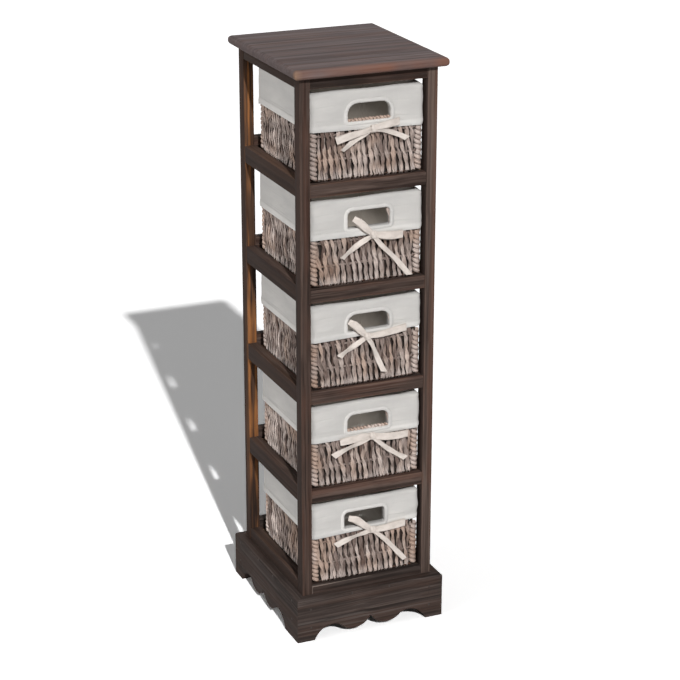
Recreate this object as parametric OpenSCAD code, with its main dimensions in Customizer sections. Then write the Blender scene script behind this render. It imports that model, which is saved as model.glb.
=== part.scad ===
// Tall five-bay storage rack with a lined woven basket in every bay.
// Millimetres. +Z is up, the front faces -Y, and the origin lies on the floor under the middle.
// Bays, rails and baskets are numbered from the top down.

/* [Carcass] */
// Height of the whole rack
total_h = 1000; // [920:5:1150]
// Width over the posts
carcass_w = 242; // [232:1:260]
// Depth over the posts
carcass_d = 270; // [256:1:320]
// Width of a post, seen from the front
post_w = 18; // [16:1:22]
// Depth of a post, seen from the side
post_d = 22; // [20:1:28]

/* [Top board] */
// Thickness of the top board
top_t = 16; // [15:1:22]
// Radius of the top board's upper and lower edges
top_round = 7; // [2:0.5:7]
// How far the top board stands out past the posts at the left and right
top_over_x = 13; // [9:1:22]
// How far the top board stands out past the posts at the front and rear
top_over_y = 15; // [9:1:22]

/* [Rails] */
// Height of the lowest shelf level, which is the top of the lowest front rail
first_shelf_z = 94; // [88:1:110]
// Height of a front rail
front_rail_h = 22; // [18:1:28]
// Thickness of the front and rear rails
rail_t = 18; // [15:1:20]
// How far the front and rear rails lie inside the posts' outer faces
rail_inset = 1; // [0:0.5:2]
// Height of a side rail
side_rail_h = 29; // [25:1:34]
// Thickness of a side rail
side_rail_t = 19; // [16:0.5:19.5]
// How far the side rails lie inside the posts' outer faces
side_rail_inset = 0.5; // [0:0.5:1]
// Height of a rear rail
rear_rail_h = 22; // [18:1:28]
// How far a rear rail rises over its shelf level, as a stop behind the basket
rear_rail_rise = 20; // [16:1:26]
// Height of the four rails under the top board
top_rail_h = 19; // [17:1:24]
// Width of the runners under a basket's sides
runner_w = 20; // [15:1:28]
// Height of a runner
runner_h = 16; // [10:1:20]

/* [Base] */
// Height of the aprons round the base
apron_h = 80; // [76:1:86]
// Thickness of an apron
apron_t = 16; // [12:1:20]
// Radius of the aprons' upper outer edge
apron_round = 5; // [2:0.5:8]
// Width of the feet at the ends of the front and rear aprons
foot_w = 32; // [26:1:38]
// Width of the rear foot on the side aprons
rear_foot_w = 34; // [28:1:38]
// Radius of the two round lobes that hang in the middle of an apron
lobe_r = 34; // [32:0.5:40]
// Distance from the pattern's middle to a lobe's middle
lobe_x = 31; // [28:0.5:31]
// Height of the lobes' lowest point over the floor
lobe_low = 8.5; // [6:0.5:10]
// Distance from the pattern's middle to an arch's peak
arch_x = 70; // [69:0.5:74]
// Height of an arch's peak over the floor
arch_peak = 24.5; // [22:0.5:27]

/* [Dowels and nails] */
// Diameter of a dowel
dowel_d = 6; // [5:0.5:7]
// Length of a dowel, half of it in each piece
dowel_l = 16; // [12:1:18]
// Distance from a dowel's middle to the nearest edge of its rail
dowel_edge = 5.5; // [4:0.5:5.5]
// Distance from the middle of a side to the dowels that hold the top board
top_dowel_from_middle = 60; // [30:1:80]
// Diameter of a nail's shank
nail_d = 2; // [1.6:0.1:2.4]
// Diameter of a nail's head
nail_head_d = 4; // [3:0.2:5]
// Thickness of a nail's head
nail_head_t = 1; // [0.6:0.1:1.4]
// Length of a nail
nail_l = 30; // [25:1:32]
// How deep a nail's head is set below the apron's face
nail_set = 1; // [0.5:0.1:2]
// Height of the lower nails through the front and rear aprons' ends
low_nail_z = 25; // [20:1:30]
// Distance from those nails up to the next ones
nail_step = 35; // [25:1:38]
// How much higher the side aprons' nails lie, so that they pass the others
side_nail_rise = 10; // [6:1:14]
// Distance from an apron's middle to the nails that reach the lowest rail
rail_nail_from_middle = 35; // [20:1:60]

/* [Baskets] */
// Space between a basket's woven side and a post, with the basket in the middle
basket_side_gap = 5; // [4.5:0.5:8]
// How far the baskets stand to the left of the middle
basket_shift = 2; // [0:0.5:2]
// How far a basket's woven front lies behind the posts' front
basket_setback = 6; // [5:0.5:12]
// Space from a basket's back to the posts' rear
basket_rear_room = 38; // [26:1:50]
// Space between a basket's top and the rail over it
basket_top_gap = 6.6; // [4:0.2:12]
// Thickness of the woven walls
weave_t = 7; // [6:0.5:9]
// Thickness of the woven bottom
weave_floor_t = 8; // [7:0.5:10]
// Radius of a basket's upright corners
basket_corner_r = 12; // [11:0.5:18]
// Height of the drawn-in edge round a basket's bottom
turn_under_h = 4; // [2:0.5:6]
// How far that edge is drawn in
turn_under_in = 2; // [1:0.5:4]

/* [Wire frames] */
// Diameter of the level wires inside the weave
wire_d = 3; // [2:0.2:3.6]
// Diameter of the upright wires at the corners
upright_wire_d = 2.6; // [1.8:0.2:3]
// Height of the lower woven-in wire over the basket's bottom
low_wire_z = 36; // [28:1:44]
// Height of the middle woven-in wire over the basket's bottom
mid_wire_z = 76; // [64:1:80]
// Distance from the rim down to the rim's wire
rim_wire_drop = 4; // [3:0.5:6]

/* [Liners] */
// Thickness of the cloth
cloth_t = 1.2; // [0.8:0.1:1.6]
// Height of the cloth that is folded down outside
fold_h = 66; // [60:1:72]
// Height of the hem that holds the ribbon
hem_h = 12; // [8:1:14]
// How far the hem stands out past the folded cloth
hem_out = 0.6; // [0.4:0.1:1]
// Width of the handle opening
handle_w = 76; // [60:1:90]
// Height of the handle opening
handle_h = 30; // [24:1:34]
// Distance from a basket's top down to the handle opening
handle_drop = 24; // [16:1:26]
// Distance from the basket's middle to the handle opening's middle, to the right
handle_x = 4; // [-6:0.5:6]
// Radius of the handle opening's upper corners
handle_top_r = 15; // [8:0.5:20]
// Radius of the handle opening's lower corners
handle_low_r = 4; // [2:0.5:8]

/* [Ribbon ties] */
// Width of the ribbon
ribbon_w = 9; // [6:0.5:12]
// Thickness of a tied loop or tail, which is the folded ribbon
ribbon_t = 2.4; // [1:0.2:3]
// Width of the knot
knot_w = 16; // [12:0.5:20]
// Height of the knot
knot_h = 12; // [10:0.5:16]
// Thickness of the knot
knot_t = 4.4; // [3:0.2:6]

/* [Clearances] */
// Gap between a basket's bottom and what it slides on
slide_gap = 0.3; // [0.2:0.1:0.5]
// Gap between cloth and what it lies on
cloth_gap = 0.3; // [0.2:0.1:0.4]
// Gap round a dowel, a nail or a frame wire
bore_gap = 0.1; // [0.05:0.05:0.2]

/* [Hidden] */
$fn = 64;
bays = 5;
SIDES = [-1, 1];
PAST = 1;
BAYS = [for (bay = [1 : bays]) bay];
CORNERS = [["front_left", -1, -1], ["front_right", 1, -1], ["rear_left", -1, 1], ["rear_right", 1, 1]];

wood_colour = "#5a4a44";
hidden_wood_colour = "#b08a60";
weave_colour = "#a08c80";
cloth_colour = "#e2e0da";
ribbon_colour = "#ece6da";
steel_colour = "#8c8c8c";

opening_w = carcass_w - 2 * post_w;
opening_d = carcass_d - 2 * post_d;
post_h = total_h - top_t;
top_rail_z = post_h - top_rail_h;
pitch = (top_rail_z + front_rail_h - first_shelf_z) / bays;
cross_rail_y = carcass_d / 2 - rail_inset - rail_t / 2;
side_rail_x = carcass_w / 2 - side_rail_inset - side_rail_t / 2;
base_w = carcass_w + 2 * apron_t;
base_d = carcass_d + 2 * apron_t;

lobe_z = lobe_low + lobe_r;
pattern_half = base_w / 2 - foot_w;
side_pattern_y = base_d / 2 - rear_foot_w - pattern_half;
lobe_to_arch = arch_x - lobe_x;
lobe_over_peak = lobe_z - arch_peak;
inner_arch_r = (pow(lobe_to_arch, 2) + pow(lobe_over_peak, 2) - pow(lobe_r, 2)) / (2 * (lobe_r - lobe_over_peak));
outer_arch_r = (pow(pattern_half - arch_x, 2) + pow(arch_peak, 2)) / (2 * arch_peak);
meet_x = arch_x - lobe_to_arch * inner_arch_r / (lobe_r + inner_arch_r);
cusp_z = lobe_z - sqrt(pow(lobe_r, 2) - pow(lobe_x, 2));

basket_w = opening_w - 2 * basket_side_gap;
basket_d = carcass_d - basket_setback - basket_rear_room;
basket_h = pitch - front_rail_h - basket_top_gap;
basket_y = (basket_setback - basket_rear_room) / 2;
rim_z = basket_h - cloth_t - cloth_gap;
fold_out = cloth_gap + cloth_t;
handle_z = basket_h - handle_drop - handle_h;
wire_in = weave_t / 2;
ribbon_y = -basket_d / 2 - fold_out - hem_out - cloth_gap;

// Each tie as the front view shows it: the knot's middle, the outlines of both loops and the middle
// lines of both tails, as [x from the basket's middle, height over the basket's bottom]
TIES = [
    [
        [9, 83],
        [[9, 88], [-20, 84], [-54, 76], [-54, 62], [-18, 68], [9, 77]],
        [[9, 90], [32, 96], [53, 97], [53, 84], [30, 81], [9, 77]],
        [[9, 83], [-18, 68], [-46, 50]],
        [[9, 83], [40, 73], [70, 60]]
    ],
    [
        [10, 83],
        [[12, 88], [-4, 108], [-12, 116], [-22, 116], [-28, 108], [-14, 92], [6, 78]],
        [[10, 89], [32, 87], [61, 85], [63, 71], [34, 70], [10, 78]],
        [[10, 83], [-17, 71], [-46, 47]],
        [[10, 83], [24, 64], [49, 38], [77, 5]]
    ],
    [
        [0, 86],
        [[2, 90], [-10, 112], [-22, 122], [-31, 119], [-34, 108], [-22, 94], [-4, 81]],
        [[0, 91], [34, 98], [71, 99], [71, 86], [34, 83], [0, 81]],
        [[0, 86], [-22, 74], [-50, 56]],
        [[0, 86], [16, 58], [31, 18]]
    ],
    [
        [10, 84],
        [[10, 91], [-16, 94], [-47, 87], [-46, 74], [-16, 79], [10, 79]],
        [[10, 90], [40, 88], [75, 84], [75, 71], [40, 72], [10, 78]],
        [[10, 83], [-26, 71], [-62, 57]],
        [[10, 83], [34, 60], [54, 45], [73, 32]]
    ],
    [
        [11, 88],
        [[14, 92], [-6, 116], [-20, 124], [-31, 121], [-34, 109], [-16, 94], [6, 82]],
        [[11, 93], [38, 98], [71, 97], [73, 83], [38, 82], [11, 80]],
        [[11, 88], [-24, 80], [-57, 68]],
        [[11, 88], [40, 60], [73, 19]]
    ]
];

// Height of the shelf level that carries a bay's basket
function shelf_z(bay) = first_shelf_z + (bays - bay) * pitch;

// Lowest point of each rail of a bay
function low_rail_z(bay) = shelf_z(bay) - front_rail_h;
function rear_rail_z(bay) = shelf_z(bay) + rear_rail_rise - rear_rail_h;

// Heights of the dowels in a bay's rails and in the rails under the top board
function front_dowel_z(bay) = low_rail_z(bay) + dowel_edge;
function rear_dowel_z(bay) = shelf_z(bay) + rear_rail_rise - dowel_edge;
function side_dowel_z(bay) = low_rail_z(bay) + side_rail_h - dowel_edge;
function front_dowel_heights() = concat([for (bay = BAYS) front_dowel_z(bay)], [top_rail_z + dowel_edge]);
function rear_dowel_heights() = concat([for (bay = BAYS) rear_dowel_z(bay)], [top_rail_z + dowel_edge]);
function side_dowel_heights() = concat([for (bay = BAYS) side_dowel_z(bay)], [post_h - dowel_edge]);

// A block that stands on z = 0 with its middle over the origin
module block(width, depth, height) {
    translate([-width / 2, -depth / 2, 0])
        cube([width, depth, height]);
}

// A rectangle with round corners, drawn from squares and circles
module round_rect(width, depth, radius) {
    square([width - 2 * radius, depth], center = true);
    square([width, depth - 2 * radius], center = true);
    for (sx = SIDES)
        for (sy = SIDES)
            translate([sx * (width / 2 - radius), sy * (depth / 2 - radius)])
                circle(radius);
}

// A rod along X or along Y with its middle at the origin
module rod_x(diameter, length) {
    rotate([0, 90, 0])
        cylinder(d = diameter, h = length, center = true);
}

module rod_y(diameter, length) {
    rotate([90, 0, 0])
        cylinder(d = diameter, h = length, center = true);
}

// Dowels that join the front or rear rails to the post at side sx, at the given heights
module cross_dowels(sx, sy, heights, gap = 0) {
    for (z = heights)
        translate([sx * opening_w / 2, sy * cross_rail_y, z])
            rod_x(dowel_d + 2 * gap, dowel_l + 2 * gap);
}

// Dowels that join the side rails to the post at end sy, at the given heights
module side_dowels(sx, sy, heights, gap = 0) {
    for (z = heights)
        translate([sx * side_rail_x, sy * opening_d / 2, z])
            rod_y(dowel_d + 2 * gap, dowel_l + 2 * gap);
}

// Upright dowels between the top board and the rails under it
module top_dowels(gap = 0) {
    for (sx = SIDES)
        for (sy = SIDES) {
            translate([sx * top_dowel_from_middle, sy * cross_rail_y, post_h])
                cylinder(d = dowel_d + 2 * gap, h = dowel_l + 2 * gap, center = true);
            translate([sx * side_rail_x, sy * top_dowel_from_middle, post_h])
                cylinder(d = dowel_d + 2 * gap, h = dowel_l + 2 * gap, center = true);
        }
}

// A nail along +Y whose head is set below the face at y = 0
module nail() {
    translate([0, nail_set, 0])
        rotate([-90, 0, 0]) {
            cylinder(d = nail_head_d, h = nail_head_t);
            cylinder(d = nail_d, h = nail_l);
        }
}

// The hole that a nail leaves, open at the face
module nail_hole() {
    rotate([-90, 0, 0]) {
        translate([0, 0, -PAST])
            cylinder(d = nail_head_d + 2 * bore_gap, h = PAST + nail_set + nail_head_t + bore_gap);
        cylinder(d = nail_d + 2 * bore_gap, h = nail_set + nail_l + bore_gap);
    }
}

// Places its children at each nail of the front apron (turn 0) or of another side
module at_nails(turn, half_w, half_d, post_from_middle, rise) {
    rotate([0, 0, turn])
        translate([0, -half_d, 0]) {
            for (sx = SIDES) {
                for (z = [low_nail_z, low_nail_z + nail_step])
                    translate([sx * (half_w - post_from_middle), 0, z + rise])
                        children();
                translate([sx * rail_nail_from_middle, 0, (low_rail_z(bays) + apron_h) / 2])
                    children();
            }
        }
}

module at_cross_nails() {
    for (turn = [0, 180])
        at_nails(turn, carcass_w / 2, base_d / 2, post_w / 2, 0)
            children();
}

module at_side_nails() {
    for (turn = [90, 270])
        at_nails(turn, carcass_d / 2, base_w / 2, post_d / 2, side_nail_rise)
            children();
}

// What is cut from a board's edge along X at y = 0 to round its upper side
module edge_cut(length, radius) {
    translate([-length / 2 - PAST, 0, 0])
        rotate([90, 0, 90])
            linear_extrude(length + 2 * PAST)
                difference() {
                    translate([-PAST, -radius])
                        square([radius + PAST, radius + PAST]);
                    translate([radius, -radius])
                        circle(radius);
                }
}

// The top board, with its edges rounded above and below
module top_board() {
    board_w = carcass_w + 2 * top_over_x;
    board_d = carcass_d + 2 * top_over_y;
    color(wood_colour)
        difference() {
            translate([0, 0, post_h])
                block(board_w, board_d, top_t);
            translate([0, 0, post_h + top_t / 2])
                for (turn = [0 : 90 : 270], flip = [0, 1]) {
                    side_l = turn % 180 == 0 ? board_w : board_d;
                    side_y = turn % 180 == 0 ? board_d / 2 : board_w / 2;
                    rotate([0, 0, turn])
                        mirror([0, 0, flip])
                            translate([0, -side_y, top_t / 2])
                                edge_cut(side_l, top_round);
                }
            top_dowels(bore_gap);
        }
}

// One of the four posts, bored for its dowels and the apron's nails
module post(sx, sy) {
    cross_heights = sy < 0 ? front_dowel_heights() : rear_dowel_heights();
    color(wood_colour)
        difference() {
            translate([sx * (carcass_w - post_w) / 2, sy * (carcass_d - post_d) / 2, 0])
                block(post_w, post_d, post_h);
            cross_dowels(sx, sy, cross_heights, bore_gap);
            side_dowels(sx, sy, side_dowel_heights(), bore_gap);
            at_cross_nails()
                nail_hole();
            at_side_nails()
                nail_hole();
        }
}

// A rail between two posts of the front or rear
module cross_rail(sy, low_z, height, dowel_z) {
    color(wood_colour)
        difference() {
            translate([0, sy * cross_rail_y, low_z])
                block(opening_w, rail_t, height);
            for (sx = SIDES)
                cross_dowels(sx, sy, [dowel_z], bore_gap);
            at_cross_nails()
                nail_hole();
            top_dowels(bore_gap);
        }
}

// A rail between the front and rear posts of one side
module side_rail(sx, low_z, height, dowel_z) {
    color(wood_colour)
        difference() {
            translate([sx * side_rail_x, 0, low_z])
                block(side_rail_t, opening_d, height);
            for (sy = SIDES)
                side_dowels(sx, sy, [dowel_z], bore_gap);
            at_side_nails()
                nail_hole();
            top_dowels(bore_gap);
        }
}

module front_rail(bay) {
    cross_rail(-1, low_rail_z(bay), front_rail_h, front_dowel_z(bay));
}

module rear_rail(bay) {
    cross_rail(1, rear_rail_z(bay), rear_rail_h, rear_dowel_z(bay));
}

module bay_side_rail(sx, bay) {
    side_rail(sx, low_rail_z(bay), side_rail_h, side_dowel_z(bay));
}

module top_cross_rail(sy) {
    cross_rail(sy, top_rail_z, top_rail_h, top_rail_z + dowel_edge);
}

module top_side_rail(sx) {
    side_rail(sx, top_rail_z, top_rail_h, post_h - dowel_edge);
}

// The two runners on the side rails' inner faces, level with the front rail's top
module runners(bay) {
    runner_x = side_rail_x - side_rail_t / 2 - runner_w / 2;
    runner_l = 2 * cross_rail_y - rail_t;
    color(hidden_wood_colour)
        for (sx = SIDES)
            translate([sx * runner_x, 0, shelf_z(bay) - runner_h])
                block(runner_w, runner_l, runner_h);
}

// Half of the air under an apron's scalloped edge, from the pattern's middle to its foot
module half_scallop() {
    difference() {
        translate([0, -PAST])
            square([meet_x, cusp_z + PAST]);
        translate([lobe_x, lobe_z])
            circle(lobe_r);
    }
    intersection() {
        translate([meet_x, -PAST])
            square([arch_x - meet_x, arch_peak + 2 * PAST]);
        translate([arch_x, arch_peak - inner_arch_r])
            circle(inner_arch_r);
    }
    intersection() {
        translate([arch_x, -PAST])
            square([pattern_half - arch_x, arch_peak + 2 * PAST]);
        translate([arch_x, arch_peak - outer_arch_r])
            circle(outer_arch_r);
    }
}

// An apron along X with its outer face at y = 0, mitred at both ends
module apron_board(length, pattern_x) {
    difference() {
        linear_extrude(apron_h)
            polygon([
                [-length / 2, 0],
                [length / 2, 0],
                [length / 2 - apron_t, apron_t],
                [-length / 2 + apron_t, apron_t]
            ]);
        for (side = [0, 1])
            translate([pattern_x, apron_t + PAST, 0])
                mirror([side, 0, 0])
                    rotate([90, 0, 0])
                        linear_extrude(apron_t + 2 * PAST)
                            half_scallop();
        translate([0, 0, apron_h])
            edge_cut(length, apron_round);
    }
}

module cross_apron(turn) {
    color(wood_colour)
        difference() {
            rotate([0, 0, turn])
                translate([0, -base_d / 2, 0])
                    apron_board(base_w, 0);
            at_cross_nails()
                nail_hole();
        }
}

// A side apron, whose pattern lies towards the rear; rear_side is +1 where local +X is the rear
module side_apron(turn, rear_side) {
    color(wood_colour)
        difference() {
            rotate([0, 0, turn])
                translate([0, -base_w / 2, 0])
                    apron_board(base_d, rear_side * side_pattern_y);
            at_side_nails()
                nail_hole();
        }
}

module dowels() {
    color(hidden_wood_colour) {
        for (sx = SIDES) {
            cross_dowels(sx, -1, front_dowel_heights());
            cross_dowels(sx, 1, rear_dowel_heights());
            for (sy = SIDES)
                side_dowels(sx, sy, side_dowel_heights());
        }
        top_dowels();
    }
}

module apron_nails() {
    color(steel_colour) {
        at_cross_nails()
            nail();
        at_side_nails()
            nail();
    }
}

// Moves its children from the basket's own middle and bottom to their place in a bay
module in_bay(bay) {
    translate([-basket_shift, basket_y, shelf_z(bay) + slide_gap])
        children();
}

// The handle opening seen from the front, made larger all round by grow
module handle_shape(grow) {
    width = handle_w + 2 * grow;
    height = handle_h + 2 * grow;
    top_r = handle_top_r + grow;
    low_r = handle_low_r + grow;
    translate([handle_x, handle_z - grow]) {
        translate([-width / 2, low_r])
            square([width, height - low_r - top_r]);
        translate([-width / 2 + low_r, 0])
            square([width - 2 * low_r, low_r]);
        translate([-width / 2 + top_r, height - top_r])
            square([width - 2 * top_r, top_r]);
        for (side = SIDES) {
            translate([side * (width / 2 - low_r), low_r])
                circle(low_r);
            translate([side * (width / 2 - top_r), height - top_r])
                circle(top_r);
        }
    }
}

// The handle opening as a prism through the basket's front wall
module handle_prism(grow) {
    reach = fold_out + weave_t + fold_out + 2 * PAST;
    translate([0, -basket_d / 2 - fold_out - PAST + reach, 0])
        rotate([90, 0, 0])
            linear_extrude(reach)
                handle_shape(grow);
}

// An upright prism with the basket's outline, drawn in by inset, between two heights
module basket_prism(inset, low_z, high_z) {
    translate([0, 0, low_z])
        linear_extrude(high_z - low_z)
            round_rect(basket_w - 2 * inset, basket_d - 2 * inset, basket_corner_r - inset);
}

// A closed wire that follows the basket's outline in the middle of its wall
module level_wire(diameter) {
    half_w = basket_w / 2 - basket_corner_r;
    half_d = basket_d / 2 - basket_corner_r;
    bend_r = basket_corner_r - wire_in;
    for (side = SIDES) {
        translate([0, side * (half_d + bend_r), 0])
            rod_x(diameter, 2 * half_w);
        translate([side * (half_w + bend_r), 0, 0])
            rod_y(diameter, 2 * half_d);
    }
    for (quarter = [0 : 3]) {
        sx = quarter == 0 || quarter == 3 ? 1 : -1;
        sy = quarter < 2 ? 1 : -1;
        translate([sx * half_w, sy * half_d, 0])
            rotate([0, 0, 90 * quarter])
                rotate_extrude(angle = 90)
                    translate([bend_r, 0])
                        circle(d = diameter);
    }
}

// Four level wires and four uprights, thickened by gap where they are cut from the weave
module wire_shape(gap = 0) {
    floor_wire_z = weave_floor_t / 2;
    rim_wire_z = rim_z - rim_wire_drop;
    upright_in = basket_corner_r - (basket_corner_r - wire_in) * cos(45);
    for (z = [floor_wire_z, low_wire_z, mid_wire_z, rim_wire_z])
        translate([0, 0, z])
            level_wire(wire_d + 2 * gap);
    for (sx = SIDES)
        for (sy = SIDES)
            translate([sx * (basket_w / 2 - upright_in), sy * (basket_d / 2 - upright_in), floor_wire_z])
                cylinder(d = upright_wire_d + 2 * gap, h = rim_wire_z - floor_wire_z);
}

// The woven shell: walls, bottom and drawn-in lower edge, with the wires' channels
module wicker(bay) {
    color(weave_colour)
        in_bay(bay)
            difference() {
                union() {
                    basket_prism(turn_under_in, 0, turn_under_h);
                    basket_prism(0, turn_under_h, rim_z);
                }
                basket_prism(weave_t, weave_floor_t, rim_z + PAST);
                handle_prism(fold_out);
                wire_shape(bore_gap);
            }
}

module wire_frame(bay) {
    color(steel_colour)
        in_bay(bay)
            wire_shape();
}

// The cloth liner: a bag inside, folded over the rim, with a hem and a bound handle opening
module liner(bay) {
    bag_in = weave_t + cloth_gap;
    bag_low_z = weave_floor_t + cloth_gap;
    fold_low_z = basket_h - fold_h;
    color(cloth_colour)
        in_bay(bay)
            difference() {
                union() {
                    basket_prism(-fold_out, fold_low_z, basket_h);
                    basket_prism(-fold_out - hem_out, fold_low_z, fold_low_z + hem_h);
                    basket_prism(bag_in, bag_low_z, basket_h);
                }
                difference() {
                    basket_prism(-cloth_gap, 0, rim_z + cloth_gap);
                    basket_prism(bag_in, -PAST, rim_z + cloth_gap + PAST);
                    handle_prism(cloth_t);
                }
                basket_prism(bag_in + cloth_t, bag_low_z + cloth_t, basket_h + PAST);
                handle_prism(0);
            }
}

// Sideways direction of a ribbon at its point i, lengthened so that its edges keep their width
function ribbon_side(points, i) =
    let (
        before = points[max(i, 1)] - points[max(i, 1) - 1],
        after = points[min(i + 1, len(points) - 1)] - points[min(i, len(points) - 2)],
        side_a = [-before[1], before[0]] / norm(before),
        side_b = [-after[1], after[0]] / norm(after)
    )
    (side_a + side_b) / (1 + side_a * side_b);

// A flat ribbon along a list of points, drawn in the front view
module ribbon(points) {
    last = len(points) - 1;
    polygon(concat(
        [for (i = [0 : last]) points[i] + ribbon_side(points, i) * ribbon_w / 2],
        [for (i = [last : -1 : 0]) points[i] - ribbon_side(points, i) * ribbon_w / 2]
    ));
}

// The knot seen from the front, a block with cut corners
module knot_shape() {
    cut = knot_h / 4;
    polygon([
        for (corner = [[1, 1], [-1, 1], [-1, -1], [1, -1]], first = [true, false])
            first == (corner[0] * corner[1] > 0)
                ? [corner[0] * knot_w / 2, corner[1] * (knot_h / 2 - cut)]
                : [corner[0] * (knot_w / 2 - cut), corner[1] * knot_h / 2]
    ]);
}

// The bow of ribbon that ties the liner in front of the hem
module tie(bay) {
    shape = TIES[bay - 1];
    color(ribbon_colour)
        in_bay(bay)
            translate([0, ribbon_y, 0])
                rotate([90, 0, 0]) {
                    linear_extrude(ribbon_t) {
                        polygon(shape[1]);
                        polygon(shape[2]);
                        ribbon(shape[3]);
                        ribbon(shape[4]);
                    }
                    translate(shape[0])
                        linear_extrude(knot_t)
                            knot_shape();
                }
}

top_board();
for (corner = CORNERS)
    post(corner[1], corner[2]);
for (bay = BAYS) {
    front_rail(bay);
    rear_rail(bay);
    bay_side_rail(-1, bay);
    bay_side_rail(1, bay);
    runners(bay);
    wicker(bay);
    wire_frame(bay);
    liner(bay);
    tie(bay);
}
top_cross_rail(-1);  // top_front_rail
top_cross_rail(1);  // top_rear_rail
top_side_rail(-1);  // top_left_rail
top_side_rail(1);  // top_right_rail
cross_apron(0);  // front_apron
cross_apron(180);  // rear_apron
side_apron(270, -1);  // left_apron
side_apron(90, 1);  // right_apron
dowels();
apron_nails();
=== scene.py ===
"""Looks of the storage cabinet with baskets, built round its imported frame, in metres."""
import logging
import math
import random
from dataclasses import dataclass, field
from enum import Enum
from typing import Callable, Iterator, Sequence

import bmesh
import bpy
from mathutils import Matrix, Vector, noise


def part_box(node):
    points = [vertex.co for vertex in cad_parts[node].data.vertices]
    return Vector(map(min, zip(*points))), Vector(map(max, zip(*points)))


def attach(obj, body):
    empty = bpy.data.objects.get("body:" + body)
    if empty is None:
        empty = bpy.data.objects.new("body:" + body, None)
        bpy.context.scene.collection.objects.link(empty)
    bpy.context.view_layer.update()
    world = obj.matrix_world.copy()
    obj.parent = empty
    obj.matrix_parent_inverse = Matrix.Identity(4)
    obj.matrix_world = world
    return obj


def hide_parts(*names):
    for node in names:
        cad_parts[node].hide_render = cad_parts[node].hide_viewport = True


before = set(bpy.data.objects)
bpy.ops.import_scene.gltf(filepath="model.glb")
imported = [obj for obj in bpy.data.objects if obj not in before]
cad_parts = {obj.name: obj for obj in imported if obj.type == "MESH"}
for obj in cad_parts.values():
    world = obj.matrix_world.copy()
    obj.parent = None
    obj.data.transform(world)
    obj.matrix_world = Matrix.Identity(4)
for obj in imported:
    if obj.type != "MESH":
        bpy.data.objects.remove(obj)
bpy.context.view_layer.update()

MM = 0.001
BAYS = (1, 2, 3, 4, 5)
CORNERS = ((-1, -1), (1, -1), (1, 1), (-1, 1))
CLOTH = "cloth"
UP, RIGHT = Vector((0, 0, 1)), Vector((1, 0, 0))
LOG = logging.getLogger("cabinet")
Colour = tuple[float, float, float, float]
Pair = tuple[float, float]
Line = Sequence[tuple[float, float, float]]
Column = tuple[Vector, Vector, float]


class Axis(Enum):
    """The direction in which a board's grain runs."""

    X = 0
    Y = 1
    Z = 2


class Slot(Enum):
    """The record's material slots, named for the kinds of finish."""

    TIMBER = "weathered_wood"
    LEAF = "woven_leaf"
    CLOTH = "liner_cloth"
    TAPE = "ribbon"


def srgb(red: int, green: int, blue: int) -> Colour:
    """Turns a colour as it is seen, from 0 to 255, into the linear colour that a shader takes.

    Args:
        red: Red, 0 to 255.
        green: Green, 0 to 255.
        blue: Blue, 0 to 255.

    Returns:
        The linear colour with full alpha.
    """
    levels = [part / 255 for part in (red, green, blue)]
    linear = [level / 12.92 if level <= 0.04045 else ((level + 0.055) / 1.055) ** 2.4 for level in levels]
    return (*linear, 1.0)


def operator(operation: str, swapped: bool = False) -> Callable[["Value", "Value | float"], "Value"]:
    """Makes one arithmetic method of Value.

    Args:
        operation: The Math node's operation.
        swapped: Whether the other value comes first.

    Returns:
        The method.
    """

    def method(self: "Value", other: "Value | float") -> "Value":
        """Adds a Math node on this value and the other."""
        return self.graph.math(operation, *((other, self) if swapped else (self, other)))

    return method


class Value:
    """A socket in a graph of nodes; arithmetic on it adds Math nodes."""

    __add__, __radd__ = operator("ADD"), operator("ADD", True)
    __sub__, __rsub__ = operator("SUBTRACT"), operator("SUBTRACT", True)
    __mul__, __rmul__ = operator("MULTIPLY"), operator("MULTIPLY", True)
    __truediv__, __pow__ = operator("DIVIDE"), operator("POWER")

    def __init__(self, graph: "Graph", socket: bpy.types.NodeSocket) -> None:
        """Wraps one socket of the graph."""
        self.graph = graph
        self.socket = socket


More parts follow.
